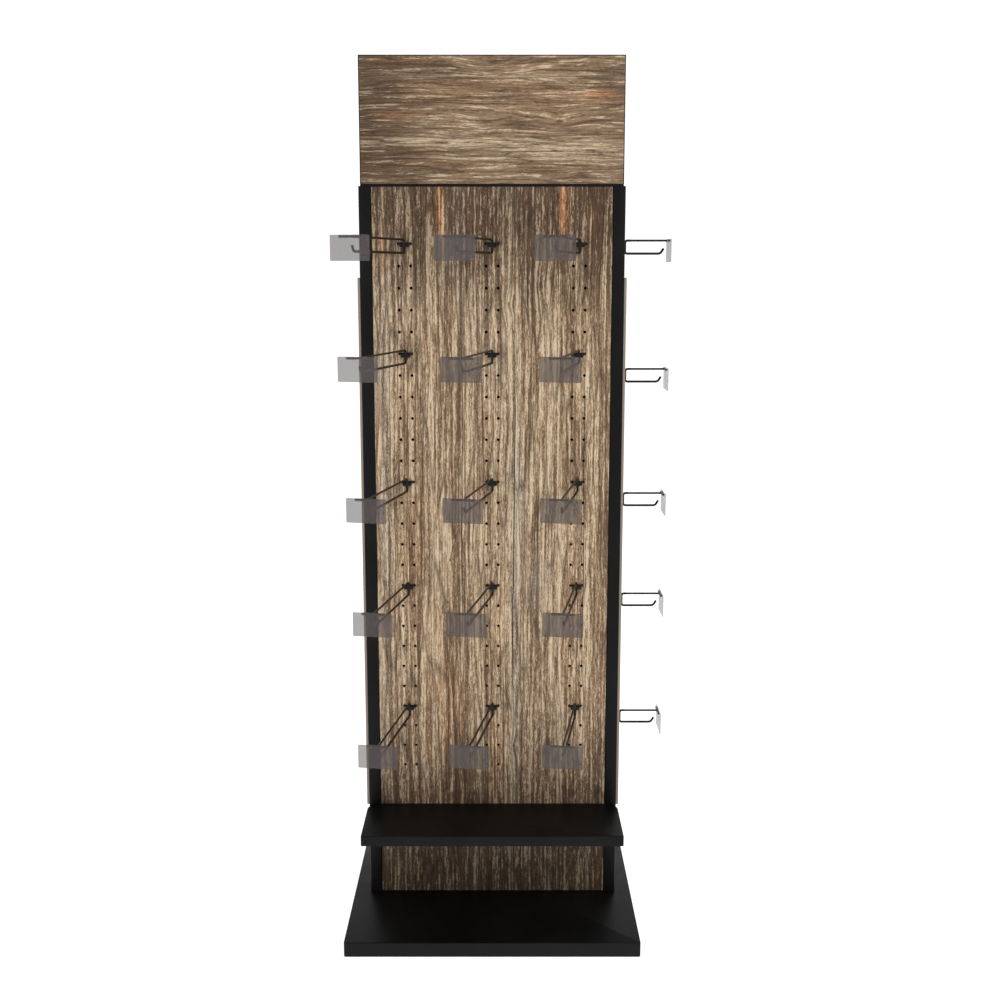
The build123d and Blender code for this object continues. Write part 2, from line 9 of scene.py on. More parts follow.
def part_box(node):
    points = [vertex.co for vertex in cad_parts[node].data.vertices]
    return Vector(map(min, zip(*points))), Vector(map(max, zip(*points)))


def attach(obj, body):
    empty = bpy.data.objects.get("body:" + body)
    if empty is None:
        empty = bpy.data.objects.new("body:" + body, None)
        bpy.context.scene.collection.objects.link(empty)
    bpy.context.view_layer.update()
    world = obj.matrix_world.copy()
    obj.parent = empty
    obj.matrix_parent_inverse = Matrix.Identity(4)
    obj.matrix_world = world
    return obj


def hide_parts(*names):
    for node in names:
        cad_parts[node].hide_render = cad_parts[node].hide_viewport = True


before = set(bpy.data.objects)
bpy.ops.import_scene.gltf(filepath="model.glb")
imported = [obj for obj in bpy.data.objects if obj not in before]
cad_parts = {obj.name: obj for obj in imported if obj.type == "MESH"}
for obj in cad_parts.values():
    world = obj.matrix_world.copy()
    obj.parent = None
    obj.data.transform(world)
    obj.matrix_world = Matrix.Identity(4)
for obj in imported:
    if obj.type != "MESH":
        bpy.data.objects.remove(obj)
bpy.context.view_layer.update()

bl_info = {
    "name": "Pegboard Display Stand",
    "version": (1, 0, 0),
    "blender": (4, 5, 0),
    "location": "3D View > Sidebar > Display Stand",
    "description": "Builds the finish of a free-standing pegboard display with label hooks",
    "category": "Object",
}

MM = 0.001
WELD = 0.005 * MM  # Points nearer than this are one point
ALIGNED = 0.999  # Cosine above which two directions are the same

# Node types that the finishes use
BUMP = "ShaderNodeBump"
COORDINATES = "ShaderNodeTexCoord"
MAPPING = "ShaderNodeMapping"
MATH = "ShaderNodeMath"
MIX = "ShaderNodeMix"
NOISE = "ShaderNodeTexNoise"
RANGE = "ShaderNodeMapRange"
SPLIT = "ShaderNodeSeparateXYZ"
VECTOR = "ShaderNodeVectorMath"
VORONOI = "ShaderNodeTexVoronoi"
SMOOTH = {"interpolation_type": "SMOOTHSTEP"}

# Front hooks: (row's place down the grid, leans of its left, centre and right hook in degrees)
FRONT_ROWS = (
    (0, (17.9, 14.6, 13.5)),
    (5, (15.6, 12.4, 10.9)),
    (11, (13.0, 11.8, 10.2)),
    (16, (11.0, 10.7, 9.0)),
    (22, (9.8, 9.7, 8.6)),
)
# Side hooks: rows' places down the grid
SIDE_ROWS = (0, 6, 12, 17, 23)
COLUMNS = (("left", -1), ("centre", 0), ("right", 1))
CORNERS = ("front_left", "front_right", "back_left", "back_right")

# Measures of a hook that stay the same whatever its reach
PRONG = 12 * MM  # How far a staple's ends stand up behind the wall
STAPLE_BEND = 3.4 * MM
WALL_GAP = 0.2 * MM  # Between the board and the wire in front of it
BEHIND_GAP = 0.4 * MM  # Between the board and the wire behind it
ARM_DROP = 19 * MM  # From the hole row down to the product arm
WIRE_RISE = 8 * MM  # From the hole row up to the label wire
YOKE_BEND = 5 * MM
YOKE_STUB = 6 * MM  # Straight ends of the yoke, on which the arm and the wire are welded
TIP_RISE, TIP_RUN, TIP_BEND = 11 * MM, 7 * MM, 8 * MM  # The upturned tip of a product arm
BAR_BEYOND = 8 * MM  # From the arm's tip out to the label's cross bar

# Measures of a label
BORE_PLAY = 0.05 * MM
SLEEVE_WALL = 1.2 * MM
SLEEVE_ENDS = (5.5 * MM, 22 * MM)  # Each sleeve's two ends, from the label's middle
PLATE_SETTING = 0.45 * MM  # Between the sleeve's bore and the plate's back


def linear(hex_colour):
    """The linear RGBA colour of an sRGB hex value."""
    values = [int(hex_colour[i : i + 2], 16) / 255 for i in (1, 3, 5)]
    return [v / 12.92 if v <= 0.04045 else ((v + 0.055) / 1.055) ** 2.4 for v in values] + [1.0]


# ------------------------------------------------------------------ settings


def length(name, description, millimetres):
    """A length that a user would change, given in millimetres."""
    return bpy.props.FloatProperty(
        name=name,
        description=description,
        default=millimetres * MM,
        min=0.0,
        unit="LENGTH",
        precision=5,
    )


def colour(name, description, hex_colour):
    """A colour that a user would change, given as an sRGB hex value."""
    return bpy.props.FloatVectorProperty(
        name=name,
        description=description,
        default=linear(hex_colour),
        size=4,
        subtype="COLOR",
        min=0,
        max=1,
    )


class StandSizes(bpy.types.PropertyGroup):
    sheet: length("Sheet", "Steel thickness of the tray, shelf and header frame", 1.5)
    tray_corner: length("Tray corner", "Radius of the base tray's upright corners", 5.0)
    tray_fold: length("Tray fold", "Radius of the base tray's top fold", 1.4)
    tray_return: length("Tray return", "Width of the flange round the tray's lower rim", 12.0)
    post_corner: length("Post corner", "Corner radius of the square posts", 2.0)
    post_wall: length("Post wall", "Wall of the square posts", 1.5)
    header_fold: length("Header fold", "Radius of the header frame's long folds", 1.5)
    shelf_corner: length("Shelf corner", "Radius of the shelf's front corners", 3.0)
    shelf_fold: length("Shelf fold", "Radius of the shelf's top fold", 1.35)
    shelf_notch: length("Shelf notch", "How far the shelf's rear corners are cut back", 9.0)
    shelf_notch_length: length("Notch length", "Length of the slanted rear corner", 26.0)
    foot_pad: length("Foot pad", "Radius of a levelling foot's pad", 15.0)
    foot_height: length("Foot height", "Height of a levelling foot's pad", 8.0)
    stud: length("Stud", "Radius of a levelling foot's stud", 3.95)
    first_row: length("First row", "Height of the highest row of peg holes", 1454.0)
    row_pitch: length("Row pitch", "Distance between rows of peg holes", 45.0)
    column_pitch: length("Column pitch", "Distance between columns of hole pairs", 180.0)
    hole_gap: length("Hole gap", "Distance between the two holes of a pair", 25.0)
    wire: length("Wire", "Radius of the arm and staple wire", 2.5)
    label_wire: length("Label wire", "Radius of the upper wire", 2.2)
    cross_bar: length("Cross bar", "Radius of the bar that the label turns on", 2.0)
    cross_bar_length: length("Cross bar length", "Length of the bar that the label turns on", 46.0)
    front_reach: length("Front reach", "Length of a front hook's arm from the board", 265.0)
    side_reach: length("Side reach", "Length of a side hook's arm from the side board", 84.0)
    label_width: length("Label width", "Width of a label plate", 80.0)
    label_height: length("Label height", "Height of a label plate with its sleeves", 48.0)
    label_thickness: length("Label thickness", "Thickness of a label plate", 1.0)


class StandColours(bpy.types.PropertyGroup):
    powder: colour("Powder coat", "Black powder coat on the steel", "#090909")
    wire: colour("Wire", "Black enamel on the hooks", "#060606")
    plastic: colour("Plastic", "Moulded black parts", "#141414")
    zinc: colour("Zinc", "Plated hardware", "#b4b8bc")
    label: colour("Label", "Smoky clear plastic", "#58504f")
    grain_dark: colour("Grain dark", "Dark fibres of the board's grain", "#66503b")
    grain_middle: colour("Grain middle", "Middle tone of the board's grain", "#a3886b")
    grain_pale: colour("Grain pale", "Pale fibres of the board's grain", "#dac5a6")
    grain_warm: colour("Grain warm", "Orange heartwood streaks", "#c08454")
    grain_grey: colour("Grain grey", "Weathered grey streaks", "#b0a698")
    crack: colour("Crack", "Deep cracks in the board's grain", "#1f150e")


class StageSettings(bpy.types.PropertyGroup):
    camera_place: bpy.props.FloatVectorProperty(
        name="Camera",
        description="Where the camera stands",
        default=(0.0162, -2.7874, 1.3988),
        subtype="TRANSLATION",
    )
    camera_pitch: bpy.props.FloatProperty(
        name="Pitch",
        description="How far the camera looks down",
        default=radians(10.014),
        subtype="ANGLE",
    )
    lens: bpy.props.FloatProperty(
        name="Lens", description="Focal length on a 36 mm sensor", default=46.68, unit="CAMERA"
    )
    key_power: bpy.props.FloatProperty(
        name="Key light", description="Power of the main soft light", default=50.0, unit="POWER"
    )
    fill_power: bpy.props.FloatProperty(
        name="Fill light",
        description="Power of the soft light on the other side",
        default=18.0,
        unit="POWER",
    )
    sky_back: bpy.props.FloatProperty(
        name="Surround behind",
        description="Strength of the white surround behind the stand",
        default=1.1,
    )
    sky_front: bpy.props.FloatProperty(
        name="Surround in front",
        description="Strength of the white surround on the viewer's side",
        default=0.62,
    )


def sizes():
    """The sizes in use."""
    return bpy.context.scene.display_stand_sizes


def colours():
    """The colours in use."""
    return bpy.context.scene.display_stand_colours


# ------------------------------------------------------------------ finishes


def fill(node, inputs):
    """Sets a node's inputs. Each takes a value, a socket, or a node, whose first output in use
    is then linked."""
    for key, value in inputs.items():
        if isinstance(value, bpy.types.Node):
            value = next(socket for socket in value.outputs if socket.enabled)
        if isinstance(value, bpy.types.NodeSocket):
            node.id_data.links.new(value, node.inputs[key])
        else:
            node.inputs[key].default_value = value


def add_node(tree, kind, inputs=None, **settings):
    """Adds a node, sets its settings, and fills or links its inputs."""
    node = tree.nodes.new(kind)
    for key, value in settings.items():
        setattr(node, key, value)
    fill(node, inputs or {})
    return node


def new_finish(name, **sockets):
    """A material with one shader whose plain values are given. Returns the material, what adds
    a node to it, and its shader."""
    material = bpy.data.materials.new(name)
    material.use_nodes = True
    shader = material.node_tree.nodes["Principled BSDF"]
    fill(shader, {key.replace("_", " "): value for key, value in sockets.items()})
    material.diffuse_color = shader.inputs["Base Color"].default_value[:]
    return material, partial(add_node, material.node_tree), shader


def powder_coat():
    """Polyester powder coat on folded steel. Baked powder flows into a fine orange peel, so
    its gloss is broken up, and dust lies on it in faint cloudy patches."""
    tone = colours().powder
    material, add, shader = new_finish(
        "powder_coat_black", Base_Color=tone, IOR=1.5, Specular_IOR_Level=0.14
    )
    place = add(COORDINATES).outputs["Object"]
    # Orange peel: bumps 1.4 mm across
    peel = add(NOISE, {"Vector": place, "Scale": 700.0, "Detail": 2.0})
    # Dust in patches 125 mm across, and grit in specks 3 mm across
    dust = add(NOISE, {"Vector": place, "Scale": 8.0, "Detail": 5.0, "Roughness": 0.62})
    speck = add(NOISE, {"Vector": place, "Scale": 330.0, "Detail": 3.0, "Roughness": 0.7})
    veil = add(RANGE, {"Value": dust, 1: 0.42, 2: 0.75, 3: 0.0, 4: 0.014})
    grit = add(RANGE, {"Value": speck, 1: 0.58, 2: 0.72, 3: 0.0, 4: 0.012})
    film = add(MATH, {0: veil, 1: grit}, operation="ADD")
    tint = add(MIX, {0: film, 6: tone, 7: linear("#8d8a86")}, data_type="RGBA")
    gloss = add(RANGE, {"Value": dust, 1: 0.3, 2: 0.7, 3: 0.36, 4: 0.5})
    bump = add(BUMP, {"Height": peel, "Strength": 0.25, "Distance": 0.15 * MM})
    fill(shader, {"Base Color": tint, "Roughness": gloss, "Normal": bump})
    return material


def wire_enamel():
    """Black dip enamel on drawn steel wire: glossier than the powder coat, with slow runs
    along the wire and rubbed patches where goods slide."""
    tone = colours().wire
    material, add, shader = new_finish(
        "wire_enamel_black", Base_Color=tone, IOR=1.52, Specular_IOR_Level=0.25
    )
    place = add(COORDINATES).outputs["Object"]
    # Runs in the enamel 6 mm long, and rubbed patches 30 mm long
    runs = add(NOISE, {"Vector": place, "Scale": 160.0, "Detail": 3.0})
    rubbed = add(NOISE, {"Vector": place, "Scale": 34.0, "Detail": 4.0})
    worn = add(RANGE, {"Value": rubbed, 1: 0.5, 2: 0.78, 3: 0.0, 4: 0.03})
    tint = add(MIX, {0: worn, 6: tone, 7: linear("#7c7c7c")}, data_type="RGBA")
    gloss = add(RANGE, {"Value": rubbed, 1: 0.3, 2: 0.75, 3: 0.24, 4: 0.42})
    bump = add(BUMP, {"Height": runs, "Strength": 0.2, "Distance": 0.2 * MM})
    fill(shader, {"Base Color": tint, "Roughness": gloss, "Normal": bump})
    return material


def moulded_nylon():
    """Injection-moulded nylon: an even black with the fine spark texture of its mould and a
    soft, waxy shine."""
    tone = colours().plastic
    material, add, shader = new_finish("moulded_nylon_black", Base_Color=tone, IOR=1.53)
    place = add(COORDINATES).outputs["Object"]
    # Spark texture of grains 0.8 mm apart, and scuffs 17 mm across
    spark = add(NOISE, {"Vector": place, "Scale": 1200.0, "Detail": 2.0, "Roughness": 0.6})
    scuff = add(NOISE, {"Vector": place, "Scale": 60.0, "Detail": 4.0})
    pale = add(RANGE, {"Value": scuff, 1: 0.5, 2: 0.8, 3: 0.0, 4: 0.08})
    tint = add(MIX, {0: pale, 6: tone, 7: linear("#6a6a6a")}, data_type="RGBA")
    gloss = add(RANGE, {"Value": scuff, 1: 0.3, 2: 0.7, 3: 0.5, 4: 0.64})
    bump = add(BUMP, {"Height": spark, "Strength": 0.3, "Distance": 0.1 * MM})
    fill(shader, {"Base Color": tint, "Roughness": gloss, "Normal": bump})
    return material


def zinc_plate():
    """Bright zinc plate on bolts, nuts and welded channels: a blue-white metal with crystal
    patches and a dull bloom."""
    tone = colours().zinc
    material, add, shader = new_finish("zinc_plated_steel", Base_Color=tone, Metallic=1.0)
    place = add(COORDINATES).outputs["Object"]
    # Crystal patches 5 mm across, bloom 25 mm across
    crystal = add(VORONOI, {"Vector": place, "Scale": 200.0})
    bloom = add(NOISE, {"Vector": place, "Scale": 40.0, "Detail": 4.0})
    tint = add(MIX, {0: bloom, 6: tone, 7: linear("#8f9498")}, data_type="RGBA")
    patch = add(SPLIT, {0: crystal.outputs["Color"]})
    gloss = add(RANGE, {"Value": patch, 3: 0.3, 4: 0.48})
    bump = add(BUMP, {"Height": bloom, "Strength": 0.1, "Distance": 0.2 * MM})
    fill(shader, {"Base Color": tint, "Roughness": gloss, "Normal": bump})
    return material


def oxide_steel():
    """Black-oxided steel screws: a dark oily metal, rubbed bright in small spots."""
    tone = linear("#2b2b2c")
    material, add, shader = new_finish("black_oxide_steel", Base_Color=tone, Metallic=1.0)
    place = add(COORDINATES).outputs["Object"]
    # Rubbed spots 1.5 mm across
    rub = add(NOISE, {"Vector": place, "Scale": 650.0, "Detail": 3.0})
    share = add(RANGE, {"Value": rub, 1: 0.5, 2: 0.75, 3: 0.0, 4: 0.35})
    tint = add(MIX, {0: share, 6: tone, 7: linear("#77777a")}, data_type="RGBA")
    gloss = add(RANGE, {"Value": rub, 3: 0.3, 4: 0.5})
    fill(shader, {"Base Color": tint, "Roughness": gloss})
    return material


def smoky_plastic():
    """Smoky rigid PVC sheet for label plates: part clear, an even grey, with a faint haze that
    makes its soft gloss uneven."""
    tone = colours().label
    material, add, shader = new_finish(
        "smoky_pvc_sheet", Base_Color=tone, IOR=1.5, Alpha=0.49, Specular_IOR_Level=0.3
    )
    place = add(COORDINATES).outputs["Object"]
    # Haze 25 mm across
    haze = add(NOISE, {"Vector": place, "Scale": 40.0, "Detail": 1.0})
    share = add(RANGE, {"Value": haze, 1: 0.35, 2: 0.7, 3: 0.0, 4: 0.25})
    tint = add(MIX, {0: share, 6: tone, 7: linear("#625a58")}, data_type="RGBA")
    gloss = add(RANGE, {"Value": haze, 1: 0.3, 2: 0.7, 3: 0.28, 4: 0.4})
    fill(shader, {"Base Color": tint, "Roughness": gloss})
    return material


def clear_plastic():
    """Clear rigid PVC of the label sleeves: nearly all light goes through, and the moulding
    leaves a faint ripple in its gloss."""
    tone = linear("#5f5a58")
    material, add, shader = new_finish("clear_pvc_sleeve", Base_Color=tone, IOR=1.5, Alpha=0.22)
    place = add(COORDINATES).outputs["Object"]
    # Ripple 5 mm across
    ripple = add(NOISE, {"Vector": place, "Scale": 200.0, "Detail": 1.0})
    tint = add(MIX, {0: ripple, 6: tone, 7: linear("#77716e")}, data_type="RGBA")
    gloss = add(RANGE, {"Value": ripple, 1: 0.3, 2: 0.7, 3: 0.15, 4: 0.3})
    fill(shader, {"Base Color": tint, "Roughness": gloss})
    return material


# Marks in the printed grain: (across, along, half width, half length) in metres from the
# object's middle and floor, the colour, and how strongly it shows. One upright mark is painted
# shade, not print. Cracks are the same without a colour. A knot ends with how far it pushes the
# fibres aside.
UPRIGHT_MARKS = (
    (0.036, 0.95, 0.019, 0.75, "grain_pale", 0.5),
    (0.052, 0.70, 0.014, 0.55, "grain_grey", 0.6),
    (-0.226, 0.95, 0.016, 0.60, "grain_grey", 0.45),
    (-0.118, 0.85, 0.030, 0.35, "grain_pale", 0.25),
    (0.130, 0.75, 0.030, 0.40, "grain_pale", 0.25),
    (-0.106, 1.53, 0.012, 0.10, "grain_warm", 0.85),
    (-0.098, 1.47, 0.008, 0.12, "grain_pale", 0.35),
    (0.146, 1.53, 0.013, 0.11, "grain_warm", 0.75),
    (-0.228, 1.44, 0.010, 0.07, "grain_warm", 0.45),
    (-0.236, 1.08, 0.008, 0.12, "grain_warm", 0.35),
    (0.205, 1.50, 0.008, 0.06, "grain_warm", 0.30),
    (-0.085, 0.46, 0.030, 0.14, "grain_warm", 0.28),
    (0.005, 0.36, 0.020, 0.12, "grain_warm", 0.25),
    # Painted shade down the board's right edge, beside the post
    (0.235, 0.95, 0.020, 0.50, "grain_dark", 0.35),
    (-0.160, 1.38, 0.050, 0.10, "grain_dark", 0.45),
    (0.060, 1.40, 0.045, 0.08, "grain_dark", 0.35),
    (0.090, 1.37, 0.020, 0.05, "grain_dark", 0.5),
)
UPRIGHT_CRACKS = (
    (-0.208, 0.86, 0.0016, 0.62, 0.8),
    (-0.148, 1.49, 0.0016, 0.12, 0.7),
    (-0.097, 0.42, 0.0018, 0.30, 0.75),
    (-0.064, 0.92, 0.0024, 0.55, 0.95),
    (-0.030, 1.30, 0.0013, 0.10, 0.5),
    (0.046, 0.88, 0.0026, 0.72, 0.95),
    (0.060, 0.42, 0.0014, 0.16, 0.5),
    (0.112, 1.48, 0.0014, 0.10, 0.6),
    (0.193, 0.92, 0.0020, 0.58, 0.95),
    (0.170, 0.55, 0.0012, 0.14, 0.4),
    (0.228, 0.80, 0.0012, 0.40, 0.45),
)
UPRIGHT_KNOTS = (
    (0.034, 1.332, 0.010, 0.022, 0.005),
    (0.045, 0.372, 0.009, 0.018, 0.004),
    (-0.091, 0.790, 0.008, 0.018, 0.004),
    (-0.197, 0.300, 0.007, 0.016, 0.004),
    (0.100, 1.370, 0.016, 0.040, 0.006),
)
LEVEL_MARKS = (
    (1.773, -0.006, 0.022, 0.060, "grain_dark", 0.55),
    (1.786, 0.010, 0.006, 0.250, "grain_pale", 0.4),
    (1.655, -0.060, 0.014, 0.330, "grain_pale", 0.40),
    (1.640, 0.170, 0.012, 0.110, "grain_pale", 0.45),
    (1.625, 0.050, 0.004, 0.280, "grain_pale", 0.5),
    (1.688, -0.200, 0.022, 0.065, "grain_dark", 0.6),
    (1.705, -0.190, 0.012, 0.060, "grain_warm", 0.25),
    (1.752, 0.214, 0.012, 0.045, "grain_warm", 0.55),
    (1.813, -0.180, 0.006, 0.080, "grain_warm", 0.35),
    (1.800, 0.060, 0.005, 0.080, "grain_warm", 0.30),
    (1.708, 0.235, 0.018, 0.050, "grain_dark", 0.45),
    (1.600, 0.150, 0.020, 0.120, "grain_dark", 0.35),
    (1.775, -0.235, 0.030, 0.050, "grain_dark", 0.5),
    (1.607, -0.230, 0.022, 0.060, "grain_dark", 0.4),
)
LEVEL_CRACKS = (
    (1.731, -0.060, 0.0022, 0.190, 0.75),
    (1.640, -0.230, 0.0022, 0.050, 0.8),
    (1.662, -0.100, 0.0015, 0.080, 0.7),
    (1.646, 0.030, 0.0020, 0.070, 0.8),
    (1.634, 0.190, 0.0018, 0.070, 0.75),
    (1.622, -0.170, 0.0014, 0.110, 0.6),
    (1.763, 0.110, 0.0016, 0.150, 0.55),
    (1.809, -0.060, 0.0012, 0.200, 0.4),
    (1.750, -0.190, 0.0018, 0.070, 0.6),
    (1.690, 0.050, 0.0014, 0.120, 0.55),
)
LEVEL_KNOTS = (
    (1.696, 0.135, 0.018, 0.040, 0.010),
    (1.706, 0.070, 0.010, 0.020, 0.005),
    (1.812, 0.004, 0.022, 0.060, 0.012),
    (1.676, -0.012, 0.006, 0.012, 0.003),
)


def board_grain(name, across, along, marks, cracks, knots, shade, wander, bands, calm, strands, lines):
    """Printed wood-grain laminate on MDF, pressed with a shallow grain texture. The print
    shows old split timber: hairy fibres, pale and orange streaks, long dark cracks and small
    knots that the fibres flow round. The satin film is a little rough in the pressed grain.
    Cut edges show brown MDF.

    across, along: the axes across and along the grain
    marks, cracks, knots: single features, from tables like those above
    shade: where the print darkens along the grain, or where painted shade falls, as (start, end, strength)
    wander: how far the fibres stray from straight
    bands: how strongly broad growth bands show
    calm: how much of the print keeps its middle tone
    strands: lengths of a strand in a metre along the grain
    lines: hair cracks in a metre across the grain"""
    tones = colours()
    depth = next(axis for axis in range(3) if axis not in (across, along))

    def stretch(over, down, through):
        """A vector from its parts across the grain, along it and through the board."""
        values = [0.0, 0.0, 0.0]
        values[across], values[along], values[depth] = over, down, through
        return values

    material, add, shader = new_finish(
        name, Base_Color=tones.grain_middle, IOR=1.5, Specular_IOR_Level=0.25
    )
    place = add(COORDINATES).outputs["Object"]

    def fibrous(vector, over, down, detail, roughness=0.5):
        """A pattern whose cells are 1 / over metres across the grain and 1 / down metres along it."""
        cells = add(MAPPING, {"Vector": vector, "Scale": stretch(over, down, 20.0)})
        return add(NOISE, {"Vector": cells, "Scale": 1.0, "Detail": detail, "Roughness": roughness})

    def away_from(vector, over, down, half_width, half_length):
        """Distance from a place in the print, 1 at the edge of its long oval."""
        oval = {"Location": stretch(over, down, 0.0), "Scale": stretch(half_width, half_length, 1000.0)}
        around = add(MAPPING, {"Vector": vector, **oval}, vector_type="TEXTURE")
        return add(VECTOR, {0: around}, operation="LENGTH")

    # The fibres wander slowly over 400 mm, and a little over 60 mm
    slow, quick = fibrous(place, 4.0, 2.4, 2.0), fibrous(place, 24.0, 14.0, 2.0)
    drift = add(RANGE, {"Value": slow, 3: -0.012 * wander, 4: 0.012 * wander})
    waver = add(RANGE, {"Value": quick, 3: -0.002 * wander, 4: 0.002 * wander})
    shift = add(MATH, {0: drift, 1: waver}, operation="ADD")
    # Fibres flow round each knot, and close up inside it
    for *oval, push in knots:
        rise = add(RANGE, {"Value": away_from(place, *oval), 1: 0.0, 2: 1.8, 3: push, 4: 0.0}, **SMOOTH)
        shift = add(MATH, {0: shift, 1: rise}, operation="ADD")
    flow = add(VECTOR, {0: shift, 1: stretch(1.0, 0.0, 0.0), 2: place}, operation="MULTIPLY_ADD")

    # Growth bands 30 mm wide, strands 4.3 mm, fibres 2.8 mm and hairs 1.5 mm, all drawn coarser
    # than in the real print, where the finest would not show
    band = fibrous(flow, 34.0, 1.8, 3.0, 0.55)
    strand = fibrous(flow, 230.0, strands, 2.0)
    fibre = fibrous(flow, 360.0, 30.0 / wander, 3.0, 0.6)
    hair = fibrous(flow, 650.0, 130.0 / wander, 2.0, 0.6)
    grain = add(MATH, {0: strand, 1: 0.34}, operation="MULTIPLY")
    for layer, weight in ((fibre, 0.45 - bands), (hair, 0.21), (band, bands)):
        grain = add(MATH, {0: layer, 1: weight, 2: grain}, operation="MULTIPLY_ADD")
    middle = add(RANGE, {"Value": grain, 1: 0.43 - calm, 2: 0.51 - calm / 2}, **SMOOTH)
    tint = add(MIX, {0: middle, 6: tones.grain_dark, 7: tones.grain_middle}, data_type="RGBA")

    # Broad drifts of warm and grey wood, 90 mm wide
    broad = fibrous(flow, 11.0, 2.2, 4.0)
    for start, end, strength, tone in (
        (0.56, 0.76, 0.22, tones.grain_warm),
        (0.46, 0.26, 0.45, tones.grain_grey),
    ):
        share = add(RANGE, {"Value": broad, 1: start, 2: end, 4: strength}, **SMOOTH)
        tint = add(MIX, {0: share, 6: tint, 7: tone}, data_type="RGBA")

    # The print darkens in clouds towards the board's ends, and a band may be painted shade, as under the
    # shelf on the upright boards
    along_grain = add(SPLIT, {0: place}).outputs[along]
    ragged = add(RANGE, {"Value": fibrous(flow, 9.0, 4.0, 3.0), 3: -0.16, 4: 0.16})
    level = add(MATH, {0: along_grain, 1: ragged}, operation="ADD")
    glooms = []
    for start, end, strength in shade:
        gloom = add(RANGE, {"Value": level, 1: start, 2: end, 4: strength}, **SMOOTH)
        tint = add(MIX, {0: gloom, 6: tint, 7: tones.grain_dark}, data_type="RGBA", blend_type="MULTIPLY")
        glooms.append(gloom)

    # Single streaks, each broken up by the fibres: print, and on the upright boards one of painted shade
    # beside the right post
    broken = add(RANGE, {"Value": grain, 1: 0.42, 2: 0.54, 3: 0.1}, **SMOOTH)
    for *oval, tone, strength in marks:
        near = add(RANGE, {"Value": away_from(flow, *oval), 1: 0.3, 2: 1.25, 3: strength, 4: 0.0}, **SMOOTH)
        share = add(MATH, {0: near, 1: broken}, operation="MULTIPLY")
        tint = add(MIX, {0: share, 6: tint, 7: getattr(tones, tone)}, data_type="RGBA")

    # Pale fibres stand out everywhere, and less where the print is dark or painted shade falls
    pale = add(RANGE, {"Value": grain, 1: 0.505 + calm, 2: 0.57 + calm, 4: 0.85}, **SMOOTH)
    for gloom in glooms:
        spared = add(RANGE, {"Value": gloom, 3: 1.0, 4: 0.4})
        pale = add(MATH, {0: pale, 1: spared}, operation="MULTIPLY")
    tint = add(MIX, {0: pale, 6: tint, 7: tones.grain_pale}, data_type="RGBA")

    # Dark flecks where strands and hairs are both thin
    thin = add(MATH, {0: hair, 1: 0.5}, operation="MULTIPLY")
    thin = add(MATH, {0: strand, 1: 0.5, 2: thin}, operation="MULTIPLY_ADD")
    fleck = add(RANGE, {"Value": thin, 1: 0.40, 2: 0.45, 3: 0.6, 4: 0.0}, **SMOOTH)
    tint = add(MIX, {0: fleck, 6: tint, 7: tones.grain_dark}, data_type="RGBA")

    # Hair cracks along the edges of long cells, and only in places
    cells = add(MAPPING, {"Vector": flow, "Scale": stretch(lines, 3.2, 20.0)})
    edge = add(VORONOI, {"Vector": cells, "Scale": 1.0}, feature="DISTANCE_TO_EDGE")
    line = add(RANGE, {"Value": edge, 1: 0.0, 2: 0.07, 3: 0.75, 4: 0.0})
    patchy = add(RANGE, {"Value": fibre, 1: 0.40, 2: 0.54, 3: 0.15}, **SMOOTH)
    split = add(MATH, {0: line, 1: patchy}, operation="MULTIPLY")
    # Long cracks, dark over the middle 70% of their width
    for over, down, half_width, half_length, strength in cracks:
        away = away_from(flow, over, down, half_width * 0.7, half_length)
        dark = add(RANGE, {"Value": away, 1: 0.35, 2: 1.0, 3: strength, 4: 0.0})
        split = add(MATH, {0: split, 1: dark}, operation="MAXIMUM")
    # A knot's heart, a third of its size
    for over, down, half_width, half_length, _ in knots:
        away = away_from(place, over, down, half_width * 0.3, half_length * 0.3)
        dark = add(RANGE, {"Value": away, 1: 0.3, 2: 1.0, 3: 0.7, 4: 0.0})
        split = add(MATH, {0: split, 1: dark}, operation="MAXIMUM")
    tint = add(MIX, {0: split, 6: tint, 7: tones.crack}, data_type="RGBA")

    # Cut edges: plain brown fibreboard
    facing = add(SPLIT, {0: add(COORDINATES).outputs["Normal"]}).outputs[depth]
    flat = add(MATH, {0: facing}, operation="ABSOLUTE")
    face = add(RANGE, {"Value": flat, 1: 0.4, 2: 0.6}, **SMOOTH)
    tint = add(MIX, {0: face, 6: linear("#8d8174"), 7: tint}, data_type="RGBA")

    gloss = add(RANGE, {"Value": grain, 1: 0.40, 2: 0.60, 3: 0.68, 4: 0.5}, **SMOOTH)
    relief = add(MATH, {0: grain, 1: split}, operation="SUBTRACT")
    bump = add(BUMP, {"Height": relief, "Strength": 0.35, "Distance": 0.5 * MM})
    fill(shader, {"Base Color": tint, "Roughness": gloss, "Normal": bump})
    return material


def front_board_grain():
    """The print of the front and back boards, with upright grain, and painted shade below the shelf."""
    return board_grain(
        "upright_oak_laminate",
        across=0,
        along=2,
        marks=UPRIGHT_MARKS,
        cracks=UPRIGHT_CRACKS,
        knots=UPRIGHT_KNOTS,
        # Darker print at the top and bottom, and last a band of painted shade below the shelf
        shade=((1.26, 1.49, 0.82), (0.58, 0.25, 0.66), (0.28, 0.20, 0.6)),
        wander=0.6,
        bands=0.14,
        calm=0.0,
        strands=5.0,
        lines=55.0,
    )


def side_board_grain():
    """The print of the side boards: the same timber, plainer."""
    return board_grain(
        "side_oak_laminate",
        across=1,
        along=2,
        marks=(),
        cracks=UPRIGHT_CRACKS[4:6],
        knots=(),
        shade=((1.20, 1.45, 0.5), (0.40, 0.22, 0.5)),
        wander=0.6,
        bands=0.14,
        calm=0.0,
        strands=5.0,
        lines=55.0,
    )


